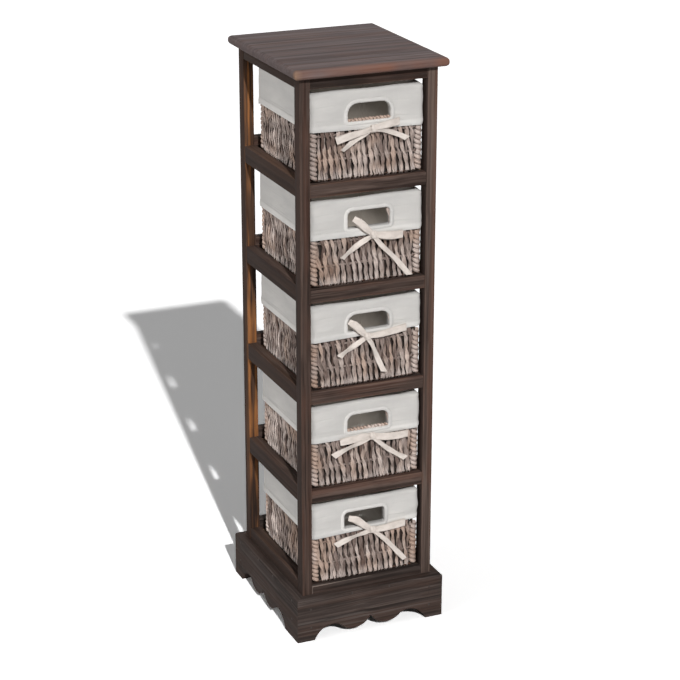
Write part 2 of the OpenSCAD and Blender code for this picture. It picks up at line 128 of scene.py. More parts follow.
class Graph:
    """A node tree and the one method that adds its nodes."""

    def __init__(self, tree: bpy.types.NodeTree) -> None:
        """Starts a graph on an empty tree."""
        self.tree = tree

    def node(self, kind: str, inputs: dict | None = None, **settings: object) -> bpy.types.Node:
        """Adds one node.

        Args:
            kind: The node's type.
            inputs: Values or links for its sockets, by the socket's name or number.
            settings: The node's own settings.

        Returns:
            The new node.
        """
        node = self.tree.nodes.new(kind)
        for name, setting in settings.items():
            setattr(node, name, setting)
        for key, given in (inputs or {}).items():
            if isinstance(given, Value):
                self.tree.links.new(given.socket, node.inputs[key])
            else:
                node.inputs[key].default_value = given
        return node

    def value(
        self, kind: str, inputs: dict | None = None, output: int | str = 0, **settings: object
    ) -> Value:
        """Adds one node and wraps one of its outputs.

        Args:
            kind: The node's type.
            inputs: Values or links for its sockets.
            output: The output's name or number.
            settings: The node's own settings.

        Returns:
            The wrapped output.
        """
        return Value(self, self.node(kind, inputs, **settings).outputs[output])

    def math(self, operation: str, *parts: "Value | float") -> Value:
        """Adds one Math node on the given values."""
        return self.value("ShaderNodeMath", dict(enumerate(parts)), operation=operation)

    def cosine(self, angle: Value) -> Value:
        """The cosine of an angle in radians."""
        return self.math("COSINE", angle)

    def sine(self, angle: Value) -> Value:
        """The sine of an angle in radians."""
        return self.math("SINE", angle)

    def slope(self, given: Value, start: float, end: float, low: float = 0.0, high: float = 1.0) -> Value:
        """Maps a value from start to end on to low to high, and keeps it there.

        Args:
            given: The value that is mapped.
            start: Where the slope starts.
            end: Where the slope ends.
            low: The result at the start.
            high: The result at the end.

        Returns:
            The mapped value.
        """
        places = {0: given, 1: start, 2: end, 3: low, 4: high}
        return self.value("ShaderNodeMapRange", places, clamp=True)

    def split(self, vector: Value) -> tuple[Value, Value, Value]:
        """A vector's three parts."""
        node = self.node("ShaderNodeSeparateXYZ", {0: vector})
        return tuple(Value(self, output) for output in node.outputs)

    def join(self, x: "Value | float", y: "Value | float", z: "Value | float") -> Value:
        """A vector made of three parts."""
        return self.value("ShaderNodeCombineXYZ", {0: x, 1: y, 2: z})

    def vector(self, operation: str, *parts: "Value | Sequence[float]") -> Value:
        """Adds one Vector Math node on the given vectors."""
        return self.value("ShaderNodeVectorMath", dict(enumerate(parts)), operation=operation)

    def longer(self, vector: Value, times: "Value | float") -> Value:
        """A vector times a number."""
        return self.value("ShaderNodeVectorMath", {0: vector, 3: times}, operation="SCALE")


class Shader(Graph):
    """One material, whose surface is a Principled shader."""

    def __init__(self, name: str) -> None:
        """Starts an empty material.

        Args:
            name: The material's name.
        """
        self.material = bpy.data.materials.new(name)
        self.material.use_nodes = True
        super().__init__(self.material.node_tree)
        self.tree.nodes.clear()

    def place(self) -> Value:
        """The place on the object, in metres."""
        return self.value("ShaderNodeTexCoord", output="Object")

    def number(self, name: str) -> Value:
        """A number that the mesh carries."""
        return self.value("ShaderNodeAttribute", output="Fac", attribute_name=name)

    def triple(self, name: str) -> Value:
        """A vector that the mesh carries."""
        return self.value("ShaderNodeAttribute", output="Vector", attribute_name=name)

    def cloud(self, vector: Value, scale: float, detail: float = 2.0, rough: float = 0.5) -> Value:
        """Soft noise from 0 to 1.

        Args:
            vector: Where the noise is read.
            scale: How many features there are in a unit of the vector.
            detail: How many finer layers there are.
            rough: How strong the finer layers are.

        Returns:
            The noise.
        """
        places = {"Vector": vector, "Scale": scale, "Detail": detail, "Roughness": rough}
        return self.value("ShaderNodeTexNoise", places)

    def tint(self, share: "Value | float", first: "Value | Colour", second: "Value | Colour") -> Value:
        """Mixes two colours by a share of the second."""
        return self.value("ShaderNodeMix", {0: share, 6: first, 7: second}, 2, data_type="RGBA")

    def relief(self, height: Value, depth: float, strength: float = 1.0, under: Value | None = None) -> Value:
        """A bumped normal.

        Args:
            height: The relief, from 0 to 1.
            depth: The relief's depth in metres.
            strength: How much of it shows.
            under: A bumped normal that this one lies on.

        Returns:
            The normal.
        """
        places = {"Height": height, "Distance": depth, "Strength": strength}
        if under is not None:
            places["Normal"] = under
        return self.value("ShaderNodeBump", places)

    def surface(self, **sockets: "Value | float | Colour") -> bpy.types.Material:
        """Ends the material in a Principled shader.

        Args:
            sockets: The shader's sockets, with _ for the space in a name.

        Returns:
            The finished material.
        """
        places = {name.replace("_", " "): given for name, given in sockets.items()}
        shaded = self.value("ShaderNodeBsdfPrincipled", places)
        self.node("ShaderNodeOutputMaterial", {"Surface": shaded})
        return self.material


@dataclass(frozen=True)
class Timber:
    """Weathered softwood: stretched grain, brown stain, pale wash, rubbed edges, painted shade on left faces.
    """

    name: str
    grain: Axis
    dark: Colour = srgb(38, 28, 24)
    light: Colour = srgb(80, 64, 57)
    stain: Colour = srgb(90, 60, 48)
    stained: float = 0.6
    wash: Colour = srgb(110, 96, 89)
    washed: float = 0.4
    rubbed: Colour = srgb(100, 79, 68)
    bare: Colour = srgb(150, 122, 98)
    worn: float = 0.5
    # share of painted shade on the faces that turn left
    left_painted_shade: float = 0.75
    fronted: float = 0.0
    cornered: float = 0.0
    depth: float = 0.5 * MM
    gloss: float = 0.15
    across: float = 210.0
    along: float = 3.5

    def material(self) -> bpy.types.Material:
        """Builds the material.

        Returns:
            The finished material.
        """
        shader = Shader(self.name)
        board = shader.number("board")
        apart = shader.join(board * 3.1, board * 1.7, board * 2.3)
        spot = shader.vector("ADD", shader.place(), apart)
        stretch = [self.across] * 3
        stretch[self.grain.value] = self.along
        lines = shader.vector("MULTIPLY", spot, stretch)
        swirl = shader.cloud(spot, 14.0, 1.0) - 0.5
        lines = shader.vector("ADD", lines, shader.join(swirl * 0.6, swirl * 0.6, swirl * 0.6))
        bands = shader.cloud(lines, 0.7, 3.0, 0.6)
        fibres = shader.cloud(lines, 2.6, 4.0, 0.65)
        flecks = shader.cloud(lines, 0.9, 3.0, 0.6)
        patches = shader.cloud(spot, 9.0, 2.0)
        colour = shader.tint(shader.slope(bands, 0.36, 0.64), self.dark, self.light)
        brown = shader.slope(shader.cloud(lines, 0.27, 2.0) + (patches - 0.5) * 0.5, 0.46, 0.62)
        colour = shader.tint(brown * self.stained, colour, self.stain)
        pale = shader.slope(flecks + (patches - 0.5) * 0.3, 0.55, 0.72)
        colour = shader.tint(pale * self.washed, colour, self.wash)
        colour = shader.tint(shader.slope(fibres, 0.52, 0.3) * 0.62, colour, self.dark)
        worn = shader.number("rub") * shader.slope(patches + (fibres - 0.5) * 0.4, 0.4, 0.6)
        colour = shader.tint(worn * self.worn, colour, self.rubbed)
        # painted shade: faces marked as turning left are darkened towards the dark grain colour
        colour = shader.tint(shader.number("deep") * self.left_painted_shade, colour, self.dark)
        if self.fronted:
            colour = self.front_edge(shader, colour, patches)
        normal = shader.relief(fibres * 0.6 + bands * 0.4, self.depth, 0.7)
        rough = 0.68 + fibres * 0.25
        return shader.surface(
            Base_Color=colour, Roughness=rough, Specular_IOR_Level=self.gloss, Normal=normal
        )

    def front_edge(self, shader: Shader, colour: Value, mottle: Value) -> Value:
        """Wears the finish off along the top board's front edge and bares its left corner.

        Args:
            shader: The material's graph.
            colour: The finish.
            mottle: Noise that makes the wear uneven.

        Returns:
            The worn colour.
        """
        right, back, _ = shader.split(shader.place())
        edge = shader.slope(back + (mottle - 0.5) * 0.014, -0.138, -0.149)
        share = edge * self.fronted * shader.slope(mottle, 0.4, 0.6, 0.3, 1.0)
        colour = shader.tint(share, colour, self.rubbed)
        corner = edge * shader.slope(right, -0.120, -0.133)
        return shader.tint(corner * self.cornered, colour, self.bare)


@dataclass(frozen=True)
class Leaf:
    """Dried twisted leaf: long fibres, strands of several tones, painted shade where a strand dives behind.
    """

    name: str
    deep: Colour = srgb(98, 78, 69)
    pale: Colour = srgb(208, 192, 183)
    tan: Colour = srgb(160, 122, 94)
    # shade: the colour of the painted shade behind the cores, also of the fibres' dark lines
    shade: Colour = srgb(62, 44, 36)
    foot: Colour = srgb(224, 212, 206)

    def material(self) -> bpy.types.Material:
        """Builds the material.

        Returns:
            The finished material.
        """
        shader = Shader(self.name)
        round_x, round_y, _ = shader.split(shader.triple("unit"))
        height = shader.number("height")
        tone = shader.number("tone")
        twist = height * 60.0
        turned = shader.join(round_x * 1.6 + twist * 0.25, round_y * 1.6, twist + tone * 37.0)
        fibres = shader.cloud(turned, 2.4, 4.0, 0.65)
        streaks = shader.cloud(turned, 0.9, 2.0)
        colour = shader.tint(shader.slope(tone * 0.7 + streaks * 0.6, 0.3, 0.95), self.deep, self.pale)
        warm = shader.slope(shader.cloud(shader.place(), 16.0, 1.0) + (tone - 0.5) * 0.3, 0.5, 0.66)
        colour = shader.tint(warm * 0.5, colour, self.tan)
        colour = shader.tint(shader.slope(height, 20 * MM, 4 * MM) * 0.5, colour, self.foot)
        # painted shade: a strand is darkened where it dives behind the cores
        colour = shader.tint((1 - shader.number("front")) * 0.5, colour, self.shade)
        colour = shader.tint(shader.slope(fibres, 0.5, 0.3) * 0.6, colour, self.shade)
        normal = shader.relief(fibres, 0.9 * MM, 0.8)
        return shader.surface(Base_Color=colour, Roughness=0.5 + fibres * 0.25, Normal=normal)


@dataclass(frozen=True)
class Dull:
    """A rough surface in two tones: dark leaf as painted shade behind the weave, or the stopper over a nail.
    """

    name: str
    dark: Colour = srgb(22, 15, 12)
    light: Colour = srgb(50, 37, 30)
    scale: float = 160.0
    edges: Pair = (0.35, 0.65)
    rough: float = 0.85
    depth: float = 0.8 * MM

    def material(self) -> bpy.types.Material:
        """Builds the material.

        Returns:
            The finished material.
        """
        shader = Shader(self.name)
        grain = shader.cloud(shader.place(), self.scale, 3.0, 0.6)
        colour = shader.tint(shader.slope(grain, *self.edges), self.dark, self.light)
        normal = shader.relief(grain, self.depth)
        return shader.surface(Base_Color=colour, Roughness=self.rough, Normal=normal)


@dataclass(frozen=True)
class Cotton:
    """Plain woven cotton: fine threads both ways, painted shade in its soft creases, and a painted glow on
    the inside that stands for light coming through.
    """

    name: str
    cloth: Colour = srgb(196, 193, 189)
    soft: Colour = srgb(172, 170, 168)
    hem: Colour = srgb(219, 216, 212)
    # inner: the colour of the painted glow on the bag's inside
    inner: Colour = srgb(124, 118, 111)
    thread: float = 0.9 * MM

    def material(self) -> bpy.types.Material:
        """Builds the material.

        Returns:
            The finished material.
        """
        shader = Shader(self.name)
        across, down, painted_glow = shader.split(shader.triple("cloth"))
        step = 2 * math.pi / self.thread
        weave = shader.sine(across * step) * shader.sine(down * step) * 0.5 + 0.5
        slub = shader.cloud(shader.join(across * 30.0, down * 900.0, 0.0), 1.0, 2.0)
        slub = slub + shader.cloud(shader.join(across * 900.0, down * 30.0, 3.0), 1.0, 2.0)
        rumple = shader.cloud(shader.join(across * 11.0, down * 26.0, 7.0), 1.0, 3.0, 0.55)
        fold = shader.cloud(shader.join(across * 5.0, 0.0, 11.0), 1.0, 2.0) - 0.5
        upper = self.crease(shader, down + fold * 0.012, 0.020)
        line = upper + self.crease(shader, down + fold * 0.016, 0.047)
        line = line * shader.slope(rumple, 0.42, 0.6)
        # painted shade in the rumples' hollows and along the creases; the slub is the yarn's own unevenness
        shade = shader.slope(rumple + (slub - 1.0) * 0.1, 0.66, 0.36) * 0.6 + line * 0.25
        colour = shader.tint(shader.slope(down, 0.0535, 0.0565) * 0.6, self.cloth, self.hem)
        colour = shader.tint(shade, colour, self.soft)
        folds = shader.relief(rumple - line * 0.14, 5.5 * MM, 0.5)
        normal = shader.relief(weave * 0.6 + slub * 0.2, 0.12 * MM, 0.5, folds)
        # painted glow: the bag's inside glows deeper down, by each bay's share, for light through weave and
        # cloth
        through = shader.slope(down, -0.09, -0.15) * painted_glow
        glow = shader.tint(through, (0.0, 0.0, 0.0, 1.0), self.inner)
        return shader.surface(
            Base_Color=colour, Roughness=0.9, Emission_Color=glow, Emission_Strength=1.0, Normal=normal
        )

    @staticmethod
    def crease(shader: Shader, down: Value, place: float) -> Value:
        """A pressed fold line at that place down the cloth, from 0 to 1."""
        away = shader.math("ABSOLUTE", down - place)
        return shader.slope(away, 1.6 * MM, 0.0)


@dataclass(frozen=True)
class Tape:
    """Cream cotton tape with fine ribs across it and selvedges."""

    name: str
    cream: Colour = srgb(214, 204, 196)
    shade: Colour = srgb(182, 171, 162)

    def material(self) -> bpy.types.Material:
        """Builds the material.

        Returns:
            The finished material.
        """
        shader = Shader(self.name)
        along, across, _ = shader.split(shader.triple("cloth"))
        ribs = shader.sine(along * (2 * math.pi / (1.1 * MM))) * 0.5 + 0.5
        edge = shader.slope(shader.math("ABSOLUTE", across), 0.78, 0.95)
        cloud = shader.cloud(shader.join(along * 60.0, across * 0.8, 0.0), 1.0, 3.0)
        # painted shade where the tape folds; it is also darker along its edges and in the ribs' own pattern
        shade = shader.slope(cloud, 0.6, 0.35) * 0.5 + edge * 0.3 + ribs * 0.12
        colour = shader.tint(shade, self.cream, self.shade)
        folds = shader.relief(cloud, 1.5 * MM, 0.5)
        normal = shader.relief(ribs + edge, 0.2 * MM, 0.5, folds)
        return shader.surface(Base_Color=colour, Roughness=0.8, Normal=normal)


@dataclass(frozen=True)
class Metal:
    """Dull drawn steel with rust in its hollows."""

    name: str
    steel: Colour = srgb(92, 84, 78)
    rust: Colour = srgb(78, 48, 32)

    def material(self) -> bpy.types.Material:
        """Builds the material.

        Returns:
            The finished material.
        """
        shader = Shader(self.name)
        spots = shader.cloud(shader.place(), 220.0, 3.0, 0.6)
        rusted = shader.slope(spots, 0.45, 0.6)
        colour = shader.tint(rusted, self.steel, self.rust)
        normal = shader.relief(spots, 0.2 * MM, 0.5)
        return shader.surface(
            Base_Color=colour, Metallic=0.8 - rusted * 0.7, Roughness=0.4 + rusted * 0.4, Normal=normal
        )


def linked(name: str, data: bpy.types.ID) -> bpy.types.Object:
    """Makes an object of that data and links it.

    Args:
        name: The object's name.
        data: Its mesh, light or camera.

    Returns:
        The object.
    """
    made = bpy.data.objects.new(name, data)
    bpy.context.collection.objects.link(made)
    return made


def settled(holder: bpy.types.Object) -> bpy.types.Mesh:
    """Takes the mesh that an object's modifiers give, with all that it carries.

    Args:
        holder: The object with its modifiers.

    Returns:
        The mesh.
    """
    graph = bpy.context.evaluated_depsgraph_get()
    shown = holder.evaluated_get(graph)
    return bpy.data.meshes.new_from_object(shown, preserve_all_data_layers=True, depsgraph=graph)


def piece(name: str, mesh: bpy.types.Mesh, material: bpy.types.Material) -> bpy.types.Object:
    """Links a mesh as a piece at the origin.

    Args:
        name: The piece's name.
        mesh: Its mesh.
        material: Its one material.

    Returns:
        The piece.
    """
    mesh.materials.clear()
    mesh.materials.append(material)
    return linked(name, mesh)


def soften(mesh: bpy.types.Mesh, degrees: float) -> None:
    """Shades a mesh smooth, except over edges that turn further than that."""
    mesh.shade_smooth()
    mesh.set_sharp_from_angle(angle=math.radians(degrees))


def thicken(made: bpy.types.Object, thickness: float) -> None:
    """Gives a surface a closed thickness behind its faces and keeps the result.

    Args:
        made: The piece.
        thickness: The thickness in metres.
    """
    modifier = made.modifiers.new("thickness", "SOLIDIFY")
    modifier.thickness = thickness
    modifier.offset = -1.0
    modifier.use_even_offset = False
    mesh, old = settled(made), made.data
    made.modifiers.remove(modifier)
    made.data = mesh
    name = old.name
    bpy.data.meshes.remove(old)
    mesh.name = name


def shaped_piece(
    shape: bmesh.types.BMesh,
    name: str,
    material: bpy.types.Material,
    thickness: float = 0.0,
    degrees: float = 60.0,
) -> bpy.types.Object:
    """Turns a finished shape into a smooth piece.

    Args:
        shape: The shape, which is used up.
        name: The piece's name.
        material: Its material.
        thickness: The thickness that a surface gets, or 0 for a closed shape.
        degrees: The turn from which an edge stays sharp.

    Returns:
        The piece.
    """
    mesh = bpy.data.meshes.new(name)
    shape.to_mesh(mesh)
    shape.free()
    made = piece(name, mesh, material)
    if thickness:
        thicken(made, thickness)
    soften(made.data, degrees)
    return made


def span(
    shape: bmesh.types.BMesh,
    rows: list[list[bmesh.types.BMVert]],
    closed: bool = False,
    cloth: Callable[[int, int], Sequence[float]] | None = None,
    kept: Callable[[int, int], bool] | None = None,
    cell: Sequence[tuple[int, int]] = ((0, 0), (0, 1), (1, 1), (1, 0)),
) -> None:
    """Spans faces between rows of vertices.

    Args:
        shape: The shape that gets the faces.
        rows: Its rows of vertices.
        closed: Whether each row's end meets its start.
        cloth: The cloth coordinate at a row and column, where the faces carry one.
        kept: Whether the cell at a row and column gets its face.
        cell: A face's corners in order, as steps down and across.
    """
    layer = shape.loops.layers.float_vector.get(CLOTH)
    count = len(rows[0])
    for row in range(len(rows) - 1):
        for column in range(count if closed else count - 1):
            if kept and not kept(row, column):
                continue
            face = shape.faces.new([rows[row + down][(column + right) % count] for down, right in cell])
            for loop, (down, right) in zip(face.loops, cell if cloth else ()):
                loop[layer] = Vector(cloth(row + down, column + right))


def circle(items: list) -> Iterator[tuple]:
    """Each item with the one after it, and the last with the first."""
    return zip(items, items[1:] + items[:1])


def hand_over(made: bpy.types.Object, body: str, slot: Slot, *nodes: str) -> None:
    """Attaches a piece to its body, hides the CAD nodes that it replaces, and reports it.

    Args:
        made: The piece.
        body: The body that it rides on.
        slot: The record's slot of its material; not used.
        nodes: The CAD nodes that it replaces.
    """
    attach(made, body)
    if nodes:
        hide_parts(*nodes)
    LOG.info("%s: %d faces on %s", made.name, len(made.data.polygons), body)


class Recipe(Graph):
    """A Geometry Nodes tree with named inputs, which ends in Realize Instances and Set Material."""

    def __init__(self, name: str, sizes: dict[str, float | int]) -> None:
        """Starts a tree.

        Args:
            name: The tree's name.
            sizes: Its named inputs and their first values.
        """
        super().__init__(bpy.data.node_groups.new(name, "GeometryNodeTree"))
        add = self.tree.interface.new_socket
        add("Geometry", in_out="OUTPUT", socket_type="NodeSocketGeometry")
        add("Geometry", in_out="INPUT", socket_type="NodeSocketGeometry")
        kinds = {"Material": "NodeSocketMaterial"}
        for key, size in sizes.items():
            kinds[key] = "NodeSocketInt" if isinstance(size, int) else "NodeSocketFloat"
        inputs = {key: add(key, in_out="INPUT", socket_type=kind) for key, kind in kinds.items()}
        self.identifiers = {key: given.identifier for key, given in inputs.items()}
        self.sizes = sizes
        self.source = self.node("NodeGroupInput")

    def size(self, name: str) -> Value:
        """One of the tree's inputs."""
        return Value(self, self.source.outputs[name])

    def spot(self) -> Value:
        """The place of a point."""
        return self.value("GeometryNodeInputPosition")

    def read(self, name: str, kind: str = "FLOAT") -> Value:
        """A number or vector that the points carry."""
        return self.value("GeometryNodeInputNamedAttribute", {"Name": name}, data_type=kind)

    def keep(self, geometry: Value, name: str, given: "Value | float", kind: str = "FLOAT") -> Value:
        """Stores a number or vector on the points.

        Args:
            geometry: The geometry that carries it.
            name: The attribute's name.
            given: What is stored.
            kind: The attribute's type.

        Returns:
            The geometry with it.
        """
        places = {"Geometry": geometry, "Name": name, "Value": given}
        return self.value("GeometryNodeStoreNamedAttribute", places, data_type=kind, domain="POINT")

    def chance(self, low: float, high: float, step: int) -> Value:
        """A random number for each point, from the tree's seed and a step of its own."""
        places = {2: low, 3: high, 7: self.value("GeometryNodeInputIndex"), 8: self.size("Seed") + step}
        return self.value("FunctionNodeRandomValue", places, 1, data_type="FLOAT")

    def plant(self, hosts: Value, thing: Value, way: str = "", axis: Axis = Axis.Z) -> Value:
        """Sets a thing on every point.

        Args:
            hosts: The points.
            thing: What is set on them.
            way: The vector on the points along which the thing is turned, if it is.
            axis: The thing's axis that is turned that way.

        Returns:
            The instances.
        """
        places = {"Points": hosts, "Instance": thing}
        if way:
            turn = {"Vector": self.read(way, "FLOAT_VECTOR")}
            places["Rotation"] = self.value("FunctionNodeAlignRotationToVector", turn, axis=axis.name)
        return self.value("GeometryNodeInstanceOnPoints", places)

    def real(self, geometry: Value) -> Value:
        """Realizes instances."""
        return self.value("GeometryNodeRealizeInstances", {"Geometry": geometry})

    def end(self, geometry: Value) -> "Recipe":
        """Realizes the instances, sets the material and closes the tree.

        Args:
            geometry: The tree's result.

        Returns:
            The recipe itself.
        """
        smooth = self.value("GeometryNodeSetShadeSmooth", {"Geometry": self.real(geometry)})
        places = {"Geometry": smooth, "Material": self.size("Material")}
        self.node("NodeGroupOutput", {"Geometry": self.value("GeometryNodeSetMaterial", places)})
        return self

    def grow(
        self, name: str, host: bpy.types.Mesh, material: bpy.types.Material, **sizes: float | int
    ) -> bpy.types.Object:
        """Runs the tree on a mesh and keeps the result as a plain piece.

        Args:
            name: The piece's name.
            host: The mesh whose points the tree reads.
            material: The piece's material.
            sizes: Inputs that differ from the tree's own.

        Returns:
            The new piece.
        """
        holder = linked(name + "_host", host)
        modifier = holder.modifiers.new("recipe", "NODES")
        modifier.node_group = self.tree
        for key, size in {**self.sizes, **sizes, "Material": material}.items():
            modifier[self.identifiers[key]] = size
        mesh = settled(holder)
        holder.modifiers.remove(modifier)
        bpy.data.objects.remove(holder)
        mesh.name = name
        return linked(name, mesh)


def strand_recipe() -> Recipe:
    """Leaf strands that stand on points and weave behind and before the core wires.

    Each point carries out, its way outwards, parity, the side of the wires that it starts on, and low, knee
    and top, the strand's heights over the point.

    Returns:
        The tree.
    """
    sizes = {
        "Width": 7.8 * MM,
        "Waist": 4.3 * MM,
        "Thickness": 3.2 * MM,
        "Bulge": 2.0 * MM,
        "Core Height": 36 * MM,
        "Core Spacing": 40 * MM,
        "Lean": 3.0 * MM,
        "Twist": -40 * MM,
        "Seed": 5,
    }
    recipe = Recipe("leaf_strands", sizes)
    hosts = recipe.keep(recipe.size("Geometry"), "spot", recipe.spot(), "FLOAT_VECTOR")
    ranges = {
        "tone": (0.0, 1.0),
        "lean": (-1.0, 1.0),
        "fat": (0.8, 1.18),
        "shift": (-4 * MM, 4 * MM),
        "drift": (-1.0, 1.0),
    }
    for step, (name, limits) in enumerate(ranges.items()):
        hosts = recipe.keep(hosts, name, recipe.chance(*limits, step))
    tube = recipe.value(
        "GeometryNodeMeshCylinder",
        {"Vertices": 6, "Side Segments": 24, "Fill Segments": 1, "Radius": 1.0, "Depth": 1.0},
        fill_type="TRIANGLE_FAN",
    )
    tube = recipe.keep(tube, "unit", recipe.spot(), "FLOAT_VECTOR")
    pair = recipe.node("GeometryNodeJoinGeometry")
    for turn in (0.0, math.pi):
        ply = recipe.keep(tube, "ply", turn)
        recipe.tree.links.new(ply.socket, pair.inputs[0])
    grown = recipe.real(recipe.plant(hosts, Value(recipe, pair.outputs[0])))
    side, face, rise = recipe.split(recipe.read("unit", "FLOAT_VECTOR"))
    out = recipe.read("out", "FLOAT_VECTOR")
    low, knee, top = (recipe.read(name) for name in ("low", "knee", "top"))
    # The lower part has most of the rings, and the part over the knee the last ones
    lower = recipe.slope(rise + 0.5, 0.0, 0.82)
    upper = recipe.slope(rise + 0.5, 0.82, 1.0)
    height = low + lower * (knee - low) + upper * (top - knee)
    turns = height - recipe.size("Core Height") + recipe.read("shift") * 0.8
    turns = turns * math.pi / recipe.size("Core Spacing")
    wave = recipe.cosine(turns) * recipe.read("parity")
    foot = recipe.slope(height, 18 * MM, 4 * MM)
    wave = wave * (1 - foot) + foot * 0.8
    front = wave * 0.5 + 0.5
    tuck = recipe.slope(height, 6 * MM, 0.0) ** 2.0 * (5 * MM)
    tuck = tuck + recipe.slope(top - height, 4 * MM, 0.0) ** 2.0 * (2 * MM)
    away = wave * recipe.size("Bulge") - tuck
    waist = recipe.size("Waist")
    width = (waist + front * (recipe.size("Width") - waist)) * recipe.read("fat") * (0.5 - foot * 0.11)
    lean = recipe.read("parity") * 0.8 + recipe.read("lean") * 0.55
    slant = recipe.sine(turns) * recipe.size("Lean") * lean * front
    slant = slant + (height - 42 * MM) * (recipe.read("drift") * 0.06 + 0.05)
    # Two plies turn round each other
    ply = height * (2 * math.pi) / recipe.size("Twist") + recipe.read("ply") + recipe.read("tone") * 6.0
    across = recipe.vector("CROSS_PRODUCT", out, (0.0, 0.0, 1.0))
    sideways = (side * 0.62 + recipe.cosine(ply) * 0.42) * width + slant
    move = recipe.vector("ADD", recipe.read("spot", "FLOAT_VECTOR"), recipe.longer(across, sideways))
    depth = (face * 0.62 + recipe.sine(ply) * 0.4) * recipe.size("Thickness") * 0.5 * (0.8 + front * 0.3)
    move = recipe.vector("ADD", move, recipe.longer(out, away + depth))
    move = recipe.vector("ADD", move, recipe.join(0.0, 0.0, height))
    # front also sets how much of the leaf material's painted shade a strand takes where it dives behind
    grown = recipe.keep(recipe.keep(grown, "height", height), "front", front)
    return recipe.end(recipe.value("GeometryNodeSetPosition", {"Geometry": grown, "Position": move}))


def coil_recipe() -> Recipe:
    """Leaf wound round the corner uprights; each point is the foot of one upright.

    Returns:
        The tree.
    """
    sizes = {"Pitch": 8.2 * MM, "Reach": 3.2 * MM, "Leaf": 3.9 * MM, "Height": 82 * MM, "Seed": 9}
    recipe = Recipe("corner_coils", sizes)
    reach, height, leaf = recipe.size("Reach"), recipe.size("Height"), recipe.size("Leaf")
    spiral = {
        "Resolution": 14,
        "Rotations": height / recipe.size("Pitch"),
        "Start Radius": reach,
        "End Radius": reach,
        "Height": height - 6 * MM,
    }
    spring = recipe.value("GeometryNodeCurveSpiral", spiral)
    spring = recipe.keep(spring, "run", recipe.value("GeometryNodeSplineParameter", output="Length"))
    ring = recipe.value("GeometryNodeCurvePrimitiveCircle", {0: 8, 4: 1.0}, mode="RADIUS")
    ring = recipe.keep(ring, "unit", recipe.spot(), "FLOAT_VECTOR")
    oval = recipe.join(leaf, leaf * 0.86, leaf)
    ring = recipe.value("GeometryNodeTransform", {"Geometry": ring, "Scale": oval})
    sweep = {"Curve": spring, "Profile Curve": ring, "Fill Caps": True}
    coil = recipe.value("GeometryNodeCurveToMesh", sweep)
    hosts = recipe.keep(recipe.size("Geometry"), "tone", recipe.chance(0.35, 0.9, 0))
    grown = recipe.real(recipe.plant(hosts, coil))
    grown = recipe.keep(grown, "height", recipe.read("run") * 0.5 + 20 * MM)
    # the coils carry front 1, so they take none of the leaf's painted shade
    return recipe.end(recipe.keep(grown, "front", 1.0))


def stitch_recipe() -> Recipe:
    """Short sewn stitches that lie along run on their points.

    Returns:
        The tree.
    """
    recipe = Recipe("stitches", {"Length": 2.3 * MM, "Thread": 0.3 * MM})
    thread = recipe.value("GeometryNodeMeshUVSphere", {"Segments": 5, "Rings": 4, "Radius": 1.0})
    thin = recipe.size("Thread")
    scale = recipe.join(recipe.size("Length") * 0.5, thin, thin)
    thread = recipe.value("GeometryNodeTransform", {"Geometry": thread, "Scale": scale})
    return recipe.end(recipe.plant(recipe.size("Geometry"), thread, "run", Axis.X))


def stopper_recipe() -> Recipe:
    """Round stoppers that fill the nail holes on their points, facing out.

    Returns:
        The tree.
    """
    recipe = Recipe("nail_stoppers", {"Radius": 2.0 * MM, "Depth": 0.8 * MM})
    given = {name: recipe.size(name) for name in recipe.sizes}
    disc = {"Vertices": 16, "Fill Segments": 2, **given}
    disc = recipe.value("GeometryNodeMeshCylinder", disc, fill_type="TRIANGLE_FAN")
    return recipe.end(recipe.plant(recipe.size("Geometry"), disc, "out"))


def points(name: str, places: Sequence[Vector], faces: Sequence = (), **carried: Sequence) -> bpy.types.Mesh:
    """A mesh of points, bare for a recipe to grow on or with faces.

    Args:
        name: The mesh's name.
        places: The points.
        faces: Each face's points by number.
        carried: Numbers or vectors that the points carry, one list for each name.

    Returns:
        The mesh.
    """
    mesh = bpy.data.meshes.new(name)
    mesh.from_pydata([tuple(place) for place in places], [], faces)
    for key, given in carried.items():
        if isinstance(given[0], (int, float)):
            mesh.attributes.new(key, "FLOAT", "POINT").data.foreach_set("value", list(given))
        else:
            flat = [part for vector in given for part in vector]
            mesh.attributes.new(key, "FLOAT_VECTOR", "POINT").data.foreach_set("vector", flat)
    return mesh


